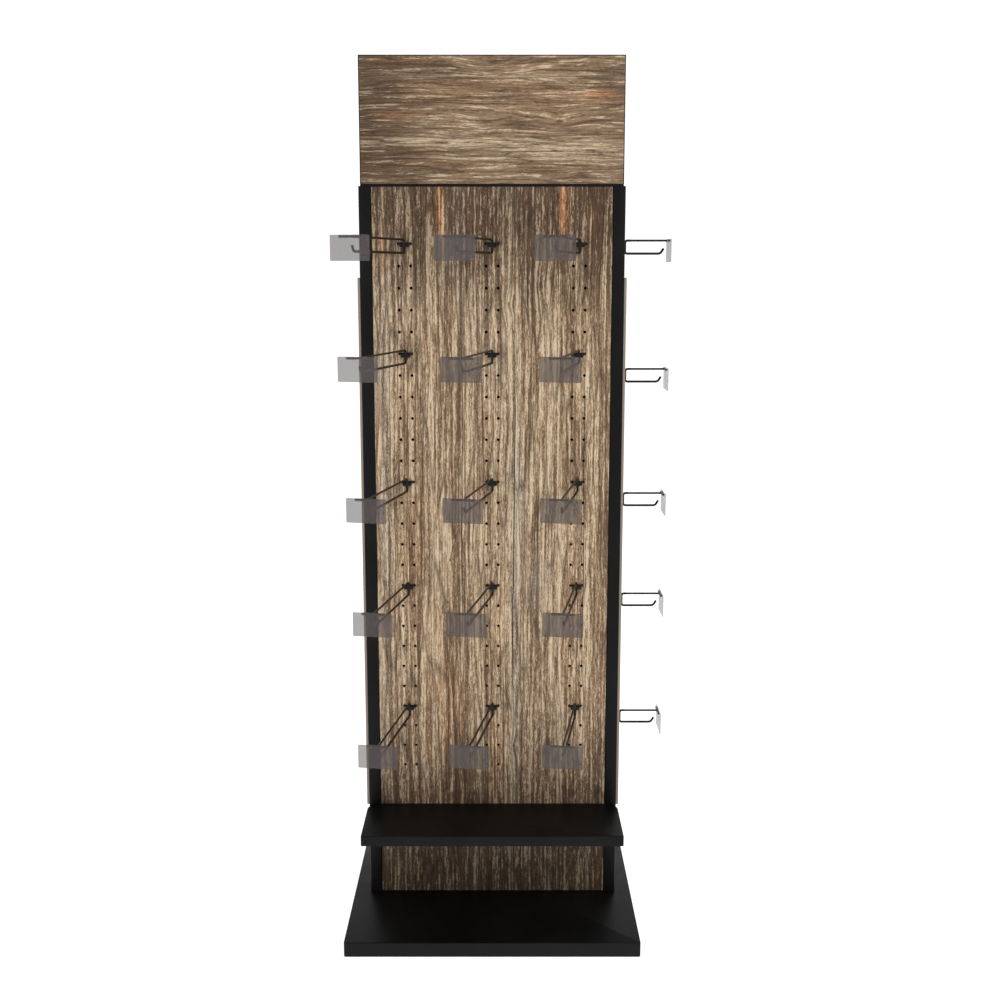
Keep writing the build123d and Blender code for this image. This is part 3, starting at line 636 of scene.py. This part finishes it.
def header_board_grain():
    """The print of the header boards, with level grain."""
    return board_grain(
        "level_oak_laminate",
        across=2,
        along=0,
        marks=LEVEL_MARKS,
        cracks=LEVEL_CRACKS,
        knots=LEVEL_KNOTS,
        shade=((-1.0, -0.9, 0.36), (-0.04, -0.26, 0.65), (0.16, 0.32, 0.3)),
        wander=1.0,
        bands=0.04,
        calm=0.03,
        strands=11.0,
        lines=95.0,
    )


def floor_paint():
    """Pale matt studio floor: nearly white, with a faint mottle from the roller. It glows a
    little, and more behind the stand, so that it meets the white surround without a line."""
    material, add, shader = new_finish("studio_floor_paint", Base_Color=linear("#f4f4f3"), Roughness=0.7)
    place = add(COORDINATES).outputs["Object"]
    # Mottle 330 mm across
    mottle = add(NOISE, {"Vector": place, "Scale": 3.0, "Detail": 3.0})
    tint = add(MIX, {0: mottle, 6: linear("#f2f2f1"), 7: linear("#f7f7f6")}, data_type="RGBA")
    # The glow fades over 0.8 m in front of the stand
    back = add(SPLIT, {0: place}).outputs[1]
    glow = add(RANGE, {"Value": back, 1: -1.3, 2: -0.5, 3: 0.5, 4: 0.85})
    fill(shader, {"Base Color": tint, "Emission Color": (1, 1, 1, 1), "Emission Strength": glow})
    return material


def finish_of(make):
    """The finish made by a function, made only once."""
    if make not in finish_of.made:
        finish_of.made[make] = make()
    return finish_of.made[make]


finish_of.made = {}


# ------------------------------------------------------------------ shared steps


def set_piece(name, bm, material, body, replaced, smooth=30.0):
    """Turns a bmesh into a finished piece on its body, standing for its CAD nodes."""
    bmesh.ops.remove_doubles(bm, verts=bm.verts, dist=WELD)
    mesh = bpy.data.meshes.new(name)
    bm.to_mesh(mesh)
    bm.free()
    mesh.polygons.foreach_set("use_smooth", [True] * len(mesh.polygons))
    mesh.set_sharp_from_angle(angle=radians(smooth))
    piece = bpy.data.objects.new(name, mesh)
    bpy.context.scene.collection.objects.link(piece)
    piece.data.materials.append(finish_of(material))
    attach(piece, body)
    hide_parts(*replaced)
    return piece


def block_between(bm, low, high):
    """A box from its lowest to its highest corner. Returns its vertices."""
    middle = (Vector(low) + Vector(high)) / 2
    size = Vector(high) - Vector(low)
    place = Matrix.Translation(middle) @ Matrix.Diagonal((*size, 1.0))
    return bmesh.ops.create_cube(bm, size=1.0, matrix=place)["verts"]


def edges_along(bm, axis):
    """Edges that run along an axis."""
    runs = {edge: (edge.verts[1].co - edge.verts[0].co).normalized() for edge in bm.edges}
    return [edge for edge, run in runs.items() if abs(run[axis]) > ALIGNED]


def round_edges(bm, edges, radius, segments):
    """Rounds edges to a radius."""
    bmesh.ops.bevel(
        bm,
        geom=edges,
        offset=radius,
        segments=segments,
        profile=0.5,
        affect="EDGES",
        material=-1,
        clamp_overlap=True,
    )


def faces_towards(bm, direction):
    """Flat faces that look along a direction."""
    bm.normal_update()
    return [face for face in bm.faces if face.normal.dot(Vector(direction)) > ALIGNED]


def give_wall(bm, thickness):
    """Gives an open shell, whose faces look outwards, its wall on the inner side."""
    bmesh.ops.recalc_face_normals(bm, faces=bm.faces)
    bmesh.ops.solidify(bm, geom=bm.faces[:], thickness=thickness)


def turned(profile, steps):
    """A lathe shape: a profile of (radius, height) spun about Z."""
    bm = bmesh.new()
    points = [bm.verts.new((radius, 0.0, height)) for radius, height in profile]
    edges = [bm.edges.new(pair) for pair in zip(points, points[1:])]
    bmesh.ops.spin(
        bm, geom=points + edges, cent=(0, 0, 0), axis=(0, 0, 1), angle=2 * pi, steps=steps, use_merge=True
    )
    # Spun points on the axis lie on one another
    bmesh.ops.remove_doubles(bm, verts=bm.verts, dist=0.4 * WELD)
    bmesh.ops.recalc_face_normals(bm, faces=bm.faces)
    return bm


def bent_wire(start, heading, radius, moves, rounded=0.0):
    """A round wire that follows moves of ("run", length) and ("turn", degrees, axis, bend), with
    its far end rounded if asked."""
    bm = bmesh.new()
    heading = Vector(heading).normalized()
    point = Vector(start)
    place = Matrix.Translation(point) @ heading.to_track_quat("Z", "Y").to_matrix().to_4x4()
    bmesh.ops.create_circle(bm, cap_ends=False, segments=12, radius=radius, matrix=place)
    ends = bm.edges[:]
    bmesh.ops.contextual_create(bm, geom=ends)
    for kind, *values in moves:
        if kind == "run":
            step = heading * values[0]
            made = bmesh.ops.extrude_edge_only(bm, edges=ends)["geom"]
            moved = {item for item in made if isinstance(item, bmesh.types.BMVert)}
            bmesh.ops.translate(bm, verts=list(moved), vec=step)
            edges = [item for item in made if isinstance(item, bmesh.types.BMEdge)]
            ends = [edge for edge in edges if moved.issuperset(edge.verts)]
            point += step
        else:
            turn_degrees, axis, bend = values
            axis = Vector(axis)
            angle = radians(turn_degrees)
            inward = axis.cross(heading) * (1 if angle > 0 else -1)
            centre = point + inward * bend
            # A step for each 15 degrees, and at least four
            steps = max(4, round(abs(turn_degrees) / 15))
            made = bmesh.ops.spin(
                bm,
                geom=ends + list(dict.fromkeys(vert for edge in ends for vert in edge.verts)),
                cent=centre,
                axis=axis,
                angle=angle,
                steps=steps,
                use_merge=False,
            )["geom_last"]
            ends = [item for item in made if isinstance(item, bmesh.types.BMEdge)]
            turn = Matrix.Rotation(angle, 3, axis)
            point = centre + turn @ (point - centre)
            heading = turn @ heading
    cap = bmesh.ops.contextual_create(bm, geom=ends)["faces"]
    if rounded:
        round_edges(bm, list(cap[0].edges), rounded, 3)
    bmesh.ops.recalc_face_normals(bm, faces=bm.faces)
    return bm


def join(group, part, place):
    """Puts a finished part in its place and adds it to a group."""
    bmesh.ops.transform(part, matrix=place, verts=part.verts)
    mesh = bpy.data.meshes.new("part")
    part.to_mesh(mesh)
    part.free()
    group.from_mesh(mesh)
    bpy.data.meshes.remove(mesh)


# ------------------------------------------------------------------ hook places


def wall_place(x, y, z, outward_turn):
    """A place on a wall: local X points out of it, local Y along it and local Z up."""
    return Matrix.Translation((x, y, z)) @ Matrix.Rotation(outward_turn, 4, "Z")


def yoke_out():
    """How far a yoke's upright stands from the wall, against the staple's front wire."""
    return 3 * sizes().wire


def lean_at(place, lean):
    """A hook's place turned by a lean in degrees about its yoke's upright."""
    there = Matrix.Translation((yoke_out(), 0, 0))
    return place @ there @ Matrix.Rotation(radians(-lean), 4, "Z") @ there.inverted()


def hook_places():
    """Every hook: name, place on its wall, place of its arms, wall thickness and reach."""
    size = sizes()
    front_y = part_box("front_pegboard")[0].y
    front_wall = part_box("front_pegboard")[1].y - front_y
    plate_low, plate_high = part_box("right_side_plate")
    board_low, board_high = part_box("right_side_board")
    places = []
    for row, (down, leans) in enumerate(FRONT_ROWS, 1):
        height = size.first_row - size.row_pitch * down
        for (column, side), lean in zip(COLUMNS, leans):
            wall = wall_place(side * size.column_pitch, front_y, height, -pi / 2)
            arms = lean_at(wall, lean)
            places.append((f"r{row}_{column}", wall, arms, front_wall, size.front_reach))
    for row, down in enumerate(SIDE_ROWS, 1):
        height = size.first_row - size.row_pitch * down
        covered = board_low.z < height < board_high.z
        face = board_high.x if covered else plate_high.x
        thickness = face - plate_low.x
        wall = wall_place(face, 0.0, height, 0.0)
        places.append((f"r{row}_side", wall, wall, thickness, size.side_reach + board_high.x - face))
    return places


# ------------------------------------------------------------------ operators


class STAND_OT_base_tray(bpy.types.Operator):
    """Folded base tray with rounded corners and a return flange"""

    bl_idname = "display_stand.base_tray"
    bl_label = "Base Tray"

    def execute(self, context):
        size = sizes()
        low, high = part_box("base_pan")
        bm = bmesh.new()
        block_between(bm, low, high)
        under = faces_towards(bm, (0, 0, -1))
        bmesh.ops.inset_region(bm, faces=under, thickness=size.tray_return, use_even_offset=True)
        opening = max(faces_towards(bm, (0, 0, -1)), key=lambda face: face.calc_area())
        bmesh.ops.delete(bm, geom=[opening], context="FACES")
        round_edges(bm, edges_along(bm, 2), size.tray_corner, 6)
        (top,) = faces_towards(bm, (0, 0, 1))
        round_edges(bm, list(top.edges), size.tray_fold, 4)
        give_wall(bm, size.sheet)
        set_piece("base_tray", bm, powder_coat, "stand", ["base_pan"])
        return {"FINISHED"}


class STAND_OT_levelling_feet(bpy.types.Operator):
    """Four levelling feet: a moulded pad on a threaded stud"""

    bl_idname = "display_stand.levelling_feet"
    bl_label = "Levelling Feet"

    def execute(self, context):
        size = sizes()
        chamfer, thread_pitch, groove = 1.5 * MM, 1.25 * MM, 0.62 * MM
        for corner in CORNERS:
            node = f"foot_{corner}"
            low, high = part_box(node)
            middle = (low + high) / 2
            place = Matrix.Translation((middle.x, middle.y, low.z))
            tall = high.z - low.z
            pad = size.foot_pad
            top = size.foot_height
            # Pad: a chamfered rim, then a cone up to the stud
            profile = [(0, 0), (pad - chamfer, 0), (pad, chamfer), (pad, top * 0.45)]
            profile += [(pad * 0.82, top * 0.62), (pad * 0.55, top * 0.8), (pad * 0.45, top)]
            profile += [(size.stud, top)]
            # Thread: a groove and a ridge for each turn
            for turn in range(int((tall - top) / thread_pitch) - 1):
                height = top + thread_pitch * turn
                profile += [(size.stud * 0.86, height + groove), (size.stud, height + thread_pitch)]
            profile += [(size.stud * 0.8, tall), (0, tall)]
            bm = turned(profile, 24)
            bmesh.ops.transform(bm, matrix=place, verts=bm.verts)
            set_piece(node + "_pad", bm, moulded_nylon, node, [node], 35.0)
        return {"FINISHED"}


class STAND_OT_posts(bpy.types.Operator):
    """Four square-tube posts with rolled corners and open walls"""

    bl_idname = "display_stand.posts"
    bl_label = "Posts"

    def execute(self, context):
        size = sizes()
        for corner in CORNERS:
            node = f"post_{corner}"
            bm = bmesh.new()
            block_between(bm, *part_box(node))
            round_edges(bm, edges_along(bm, 2), size.post_corner, 4)
            ends = faces_towards(bm, (0, 0, 1)) + faces_towards(bm, (0, 0, -1))
            bmesh.ops.delete(bm, geom=ends, context="FACES")
            give_wall(bm, size.post_wall)
            set_piece(node + "_tube", bm, powder_coat, "stand", [node])
        return {"FINISHED"}


class STAND_OT_shelf(bpy.types.Operator):
    """Folded tray shelf with rounded front corners and rear corners cut back to the posts"""

    bl_idname = "display_stand.shelf"
    bl_label = "Shelf"

    def execute(self, context):
        size = sizes()
        low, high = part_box("shelf")
        inner = high.x - size.shelf_notch
        notch_y = high.y - size.shelf_notch_length
        bm = bmesh.new()
        outline = [(low.x, low.y), (high.x, low.y), (high.x, notch_y)]
        outline += [(inner, high.y), (-inner, high.y), (low.x, notch_y)]
        base = bm.faces.new([bm.verts.new((x, y, low.z)) for x, y in outline])
        made = bmesh.ops.extrude_face_region(bm, geom=[base])["geom"]
        raised = [item for item in made if isinstance(item, bmesh.types.BMVert)]
        bmesh.ops.translate(bm, verts=raised, vec=(0, 0, high.z - low.z))
        bmesh.ops.recalc_face_normals(bm, faces=bm.faces)
        front = [edge for edge in edges_along(bm, 2) if edge.verts[0].co.y < low.y + MM]
        round_edges(bm, front, size.shelf_corner, 5)
        # The fold runs round the front and sides, up to the slanted corners
        rim = []
        (top,) = faces_towards(bm, (0, 0, 1))
        for edge in top.edges:
            nearest, furthest = sorted(vert.co.y for vert in edge.verts)
            if nearest < notch_y + MM and furthest < high.y - MM:
                rim.append(edge)
        round_edges(bm, rim, size.shelf_fold, 4)
        bmesh.ops.delete(bm, geom=faces_towards(bm, (0, 0, -1)), context="FACES")
        give_wall(bm, size.sheet)
        set_piece("shelf_tray", bm, powder_coat, "stand", ["shelf"])
        return {"FINISHED"}


class STAND_OT_header_frame(bpy.types.Operator):
    """Folded steel frame round the header boards"""

    bl_idname = "display_stand.header_frame"
    bl_label = "Header Frame"

    def execute(self, context):
        size = sizes()
        bm = bmesh.new()
        block_between(bm, *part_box("header_shell"))
        round_edges(bm, edges_along(bm, 1), size.header_fold, 4)
        ends = faces_towards(bm, (0, 1, 0)) + faces_towards(bm, (0, -1, 0))
        bmesh.ops.delete(bm, geom=ends, context="FACES")
        give_wall(bm, size.sheet)
        set_piece("header_frame", bm, powder_coat, "stand", ["header_shell"])
        return {"FINISHED"}


class STAND_OT_hooks(bpy.types.Operator):
    """Twenty label hooks: staples, clips and yokes, product arms, and label wires"""

    bl_idname = "display_stand.hooks"
    bl_label = "Hooks"

    def execute(self, context):
        size = sizes()
        wire = size.wire
        front = WALL_GAP + wire
        half = size.hole_gap / 2
        clip_half, clip_height, clip_corner = 9.5 * MM, 7 * MM, 1.5 * MM
        clip_out = yoke_out() + 0.6 * wire
        start = yoke_out() + YOKE_BEND + YOKE_STUB
        tilt = atan2(TIP_RISE, TIP_RUN)
        setback = TIP_BEND * tan(tilt / 2)
        half_bar = size.cross_bar_length / 2
        backs, arms, wires = bmesh.new(), bmesh.new(), bmesh.new()
        for _, wall, leaning, thickness, reach in hook_places():
            # Staple: down behind the wall, out through a hole, across, and back through the other
            behind = thickness + BEHIND_GAP + wire
            prong = ("run", PRONG - STAPLE_BEND)
            through = ("run", behind + front - 2 * STAPLE_BEND)
            staple = bent_wire(
                (-behind, -half, PRONG),
                (0, 0, -1),
                wire,
                [
                    prong,
                    ("turn", -90, (0, 1, 0), STAPLE_BEND),
                    through,
                    ("turn", 90, (0, 0, 1), STAPLE_BEND),
                    ("run", size.hole_gap - 2 * STAPLE_BEND),
                    ("turn", 90, (0, 0, 1), STAPLE_BEND),
                    through,
                    ("turn", 90, (0, 1, 0), STAPLE_BEND),
                    prong,
                ],
            )
            join(backs, staple, wall)
            # Pressed clip over the staple and the yoke
            clip = bmesh.new()
            block_between(clip, (WALL_GAP, -clip_half, -clip_height), (clip_out, clip_half, 0))
            round_edges(clip, edges_along(clip, 0), clip_corner, 3)
            join(backs, clip, wall)
            # Yoke: from the arm below, back, up and out to the label wire above
            yoke = bent_wire(
                (start, 0, -ARM_DROP),
                (-1, 0, 0),
                wire,
                [
                    ("run", YOKE_STUB),
                    ("turn", 90, (0, 1, 0), YOKE_BEND),
                    ("run", ARM_DROP + WIRE_RISE - 2 * YOKE_BEND),
                    ("turn", 90, (0, 1, 0), YOKE_BEND),
                    ("run", YOKE_STUB),
                ],
            )
            join(backs, yoke, leaning)
            # Product arm with its upturned tip
            arm = bent_wire(
                (start, 0, -ARM_DROP),
                (1, 0, 0),
                wire,
                [
                    ("run", reach - TIP_RUN - start - setback),
                    ("turn", -degrees(tilt), (0, 1, 0), TIP_BEND),
                    ("run", hypot(TIP_RISE, TIP_RUN) - setback),
                ],
                rounded=1.6 * MM,
            )
            join(arms, arm, leaning)
            # Label wire, and the cross bar welded on its end
            bar_x = reach + BAR_BEYOND
            to_bar = [("run", bar_x - start)]
            join(wires, bent_wire((start, 0, WIRE_RISE), (1, 0, 0), size.label_wire, to_bar), leaning)
            across = [("run", size.cross_bar_length)]
            bar_start = (bar_x, -half_bar, WIRE_RISE)
            bar = bent_wire(bar_start, (0, 1, 0), size.cross_bar, across, rounded=0.6 * MM)
            join(wires, bar, leaning)
        set_piece("hook_backs_wire", backs, wire_enamel, "stand", ["hook_backs"], 40.0)
        set_piece("product_arms_wire", arms, wire_enamel, "stand", ["product_arms"], 40.0)
        set_piece("label_wires_wire", wires, wire_enamel, "stand", ["label_wires"], 40.0)
        return {"FINISHED"}


class STAND_OT_labels(bpy.types.Operator):
    """Twenty clear label plates, each with two open sleeves on its cross bar"""

    bl_idname = "display_stand.labels"
    bl_label = "Labels"

    def execute(self, context):
        size = sizes()
        bore = size.cross_bar + BORE_PLAY
        outer = bore + SLEEVE_WALL
        back = bore + PLATE_SETTING
        low = outer - size.label_height
        wide = size.label_width / 2
        plate_corner = 2 * MM
        slot_angle = radians(60)
        inner_end, outer_end = SLEEVE_ENDS
        for name, _, arms, _, reach in hook_places():
            plate = bmesh.new()
            block_between(plate, (back, -wide, low), (back + size.label_thickness, wide, outer))
            round_edges(plate, edges_along(plate, 0), plate_corner, 4)
            label = bmesh.new()
            join(label, plate, Matrix.Identity(4))
            for side in (-1, 1):
                sleeve = bmesh.new()
                corners = ((bore, inner_end), (outer, inner_end), (outer, outer_end), (bore, outer_end))
                wall = sleeve.faces.new([sleeve.verts.new((0, side * y, z)) for z, y in corners])
                about = Matrix.Rotation(slot_angle / 2, 3, "Y")
                bmesh.ops.rotate(sleeve, verts=sleeve.verts, cent=(0, 0, 0), matrix=about)
                bmesh.ops.spin(
                    sleeve,
                    geom=[*wall.verts, *wall.edges, wall],
                    cent=(0, 0, 0),
                    axis=(0, 1, 0),
                    angle=2 * pi - slot_angle,
                    steps=18,
                    use_merge=False,
                )
                bmesh.ops.recalc_face_normals(sleeve, faces=sleeve.faces)
                for face in sleeve.faces:
                    face.material_index = 1
                join(label, sleeve, Matrix.Identity(4))
            place = arms @ Matrix.Translation((reach + BAR_BEYOND, 0, WIRE_RISE))
            bmesh.ops.transform(label, matrix=place, verts=label.verts)
            node = f"label_{name}"
            piece = set_piece(node + "_plate", label, smoky_plastic, node, [node], 35.0)
            piece.data.materials.append(finish_of(clear_plastic))
        return {"FINISHED"}


def screws_in(node):
    """Each separate screw in a CAD node: the middle of its head's end, the way it looks, its
    length and its head's radius."""
    bm = bmesh.new()
    bm.from_mesh(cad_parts[node].data)
    bmesh.ops.remove_doubles(bm, verts=bm.verts, dist=0.2 * WELD)
    seen, found = set(), []
    for first in bm.verts:
        if first in seen:
            continue
        seen.add(first)
        queue, points = [first], []
        while queue:
            vert = queue.pop()
            points.append(vert.co.copy())
            near = {edge.other_vert(vert) for edge in vert.link_edges} - seen
            seen |= near
            queue += near
        low = Vector([min(point[i] for point in points) for i in range(3)])
        high = Vector([max(point[i] for point in points) for i in range(3)])
        size = high - low
        # A screw is round, so its axis is the one whose two other sizes agree
        axis = min(range(3), key=lambda i: abs(size[i - 1] - size[i - 2]))
        middle = (low + high) / 2

        def spread(end):
            """The screw's radius at one of its ends."""
            offsets = [point - middle for point in points if abs(point[axis] - end) < 0.1 * MM]
            return max(hypot(offset[axis - 1], offset[axis - 2]) for offset in offsets)

        out = 1 if spread(high[axis]) > spread(low[axis]) else -1
        way = Vector([out if i == axis else 0 for i in range(3)])
        found.append((middle + way * size[axis] / 2, way, size[axis], size[axis - 1] / 2))
    bm.free()
    return found


class STAND_OT_screws(bpy.types.Operator):
    """Dome-headed socket screws that hold the boards, header and shelf"""

    bl_idname = "display_stand.screws"
    bl_label = "Screws"

    def execute(self, context):
        # Each CAD node, its screws' head height and their shank radius in millimetres
        kinds = (
            ("panel_screws", 2.4, 1.75),
            ("side_board_screws", 2.4, 1.75),
            ("header_screws", 2.4, 1.75),
            ("shelf_screws", 3.0, 2.4),
        )
        for node, head_height, shank in kinds:
            group = bmesh.new()
            tall, core = head_height * MM, shank * MM
            for end, way, full, head in screws_in(node):
                # Shank and the head's underside, its dome, then the socket in its middle
                profile = [(0, -full), (core, -full), (core, -tall), (head, -tall)]
                profile += [(head, -tall * 0.6), (head * 0.9, -tall * 0.28), (head * 0.68, -tall * 0.06)]
                profile += [(head * 0.5, 0), (head * 0.44, -tall * 0.08), (head * 0.42, -tall * 0.6)]
                profile += [(0, -tall * 0.6)]
                place = Matrix.Translation(end) @ way.to_track_quat("Z", "Y").to_matrix().to_4x4()
                join(group, turned(profile, 12), place)
            set_piece(node + "_domed", group, oxide_steel, "stand", [node], 35.0)
        return {"FINISHED"}


class STAND_OT_kept_parts(bpy.types.Operator):
    """Finishes of the boards, plates, rails and hardware whose shapes come from the frame"""

    bl_idname = "display_stand.kept_parts"
    bl_label = "Boards and Plain Parts"

    def execute(self, context):
        plain = ("top_plate", "top_rails", "bottom_rails", "panel_strips", "header_strips", "shelf_brackets")
        plates = ("left_side_plate", "right_side_plate", "centre_divider")
        plated = ("base_channels", "foot_nuts", "spreader_plates", "post_bolts", "post_plugs", "header_bolts")
        kinds = (
            (front_board_grain, ("front_pegboard", "back_pegboard")),
            (side_board_grain, ("left_side_board", "right_side_board")),
            (header_board_grain, ("header_front_board", "header_back_board")),
            (powder_coat, plain + plates),
            (moulded_nylon, ("post_caps",)),
            (zinc_plate, plated),
        )
        for make, names in kinds:
            for name in names:
                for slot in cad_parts[name].material_slots:
                    slot.material = finish_of(make)
        return {"FINISHED"}


class STAND_OT_stage(bpy.types.Operator):
    """Pale floor, white surround, soft lights and the camera"""

    bl_idname = "display_stand.stage"
    bl_label = "Stage"

    def execute(self, context):
        scene = context.scene
        stage = scene.display_stand_stage
        floor_radius = 40.0
        bm = bmesh.new()
        bmesh.ops.create_circle(bm, cap_ends=True, segments=64, radius=floor_radius)
        bmesh.ops.recalc_face_normals(bm, faces=bm.faces)
        if faces_towards(bm, (0, 0, -1)):
            bmesh.ops.reverse_faces(bm, faces=bm.faces)
        mesh = bpy.data.meshes.new("studio_floor")
        bm.to_mesh(mesh)
        bm.free()
        mesh.polygons.foreach_set("use_smooth", [True] * len(mesh.polygons))
        floor = bpy.data.objects.new("studio_floor", mesh)
        scene.collection.objects.link(floor)
        mesh.materials.append(finish_of(floor_paint))

        # White surround, bright low down behind the stand, and dim overhead and in front of it
        world = bpy.data.worlds.new("studio_surround")
        world.use_nodes = True
        add = partial(add_node, world.node_tree)
        way = add(SPLIT, {0: add(COORDINATES).outputs["Generated"]})
        ahead = {"Value": way.outputs[1], 1: -0.35, 2: 0.35, 3: stage.sky_front, 4: stage.sky_back}
        overhead = {"Value": way.outputs[2], 1: 0.24, 2: 0.42, 3: 1.0, 4: 0.4}
        glow, shade = add(RANGE, ahead, **SMOOTH), add(RANGE, overhead, **SMOOTH)
        strength = add(MATH, {0: glow, 1: shade}, operation="MULTIPLY")
        fill(world.node_tree.nodes["Background"], {"Color": (1, 1, 1, 1), "Strength": strength})
        scene.world = world

        # Square soft lights: name, place, width and power, aimed at the stand's middle
        aim = Vector((0, 0, 0.95))
        lights = (
            ("key_light", (1.7, -2.6, 3.0), 1.5, stage.key_power),
            ("fill_light", (-2.3, -2.4, 1.6), 2.0, stage.fill_power),
        )
        for name, place, width, power in lights:
            light = bpy.data.lights.new(name, "AREA")
            light.energy = power
            light.size = width
            lamp = bpy.data.objects.new(name, light)
            lamp.location = place
            lamp.rotation_euler = (aim - Vector(place)).to_track_quat("-Z", "Y").to_euler()
            scene.collection.objects.link(lamp)

        lens = bpy.data.cameras.new("camera")
        lens.sensor_width = 36.0
        lens.lens = stage.lens
        lens.clip_start, lens.clip_end = 0.05, 50.0
        camera = bpy.data.objects.new("camera", lens)
        camera.location = stage.camera_place
        camera.rotation_euler = (pi / 2 - stage.camera_pitch, 0, 0)
        scene.collection.objects.link(camera)
        scene.camera = camera
        scene.view_settings.view_transform = "Standard"
        return {"FINISHED"}


STEPS = (
    STAND_OT_base_tray,
    STAND_OT_levelling_feet,
    STAND_OT_posts,
    STAND_OT_shelf,
    STAND_OT_header_frame,
    STAND_OT_hooks,
    STAND_OT_labels,
    STAND_OT_screws,
    STAND_OT_kept_parts,
    STAND_OT_stage,
)
SETTINGS = (
    ("display_stand_sizes", StandSizes),
    ("display_stand_colours", StandColours),
    ("display_stand_stage", StageSettings),
)


class VIEW3D_PT_display_stand(bpy.types.Panel):
    """Lists the building steps and the settings"""

    bl_label = "Display Stand"
    bl_space_type = "VIEW_3D"
    bl_region_type = "UI"
    bl_category = "Display Stand"

    def draw(self, context):
        for step in STEPS:
            self.layout.operator(step.bl_idname)
        for name, group in SETTINGS:
            box = self.layout.box()
            for key in group.__annotations__:
                box.prop(getattr(context.scene, name), key)


def register():
    for cls in (*(group for _, group in SETTINGS), *STEPS, VIEW3D_PT_display_stand):
        bpy.utils.register_class(cls)
    for name, group in SETTINGS:
        setattr(bpy.types.Scene, name, bpy.props.PointerProperty(type=group))


def unregister():
    for name, _ in SETTINGS:
        delattr(bpy.types.Scene, name)
    for cls in (VIEW3D_PT_display_stand, *reversed(STEPS), *(group for _, group in SETTINGS)):
        bpy.utils.unregister_class(cls)


def main():
    """Builds the whole stand and its stage."""
    register()
    bpy.ops.display_stand.base_tray()
    bpy.ops.display_stand.levelling_feet()
    bpy.ops.display_stand.posts()
    bpy.ops.display_stand.shelf()
    bpy.ops.display_stand.header_frame()
    bpy.ops.display_stand.hooks()
    bpy.ops.display_stand.labels()
    bpy.ops.display_stand.screws()
    bpy.ops.display_stand.kept_parts()
    bpy.ops.display_stand.stage()


if __name__ == "__main__":
    main()
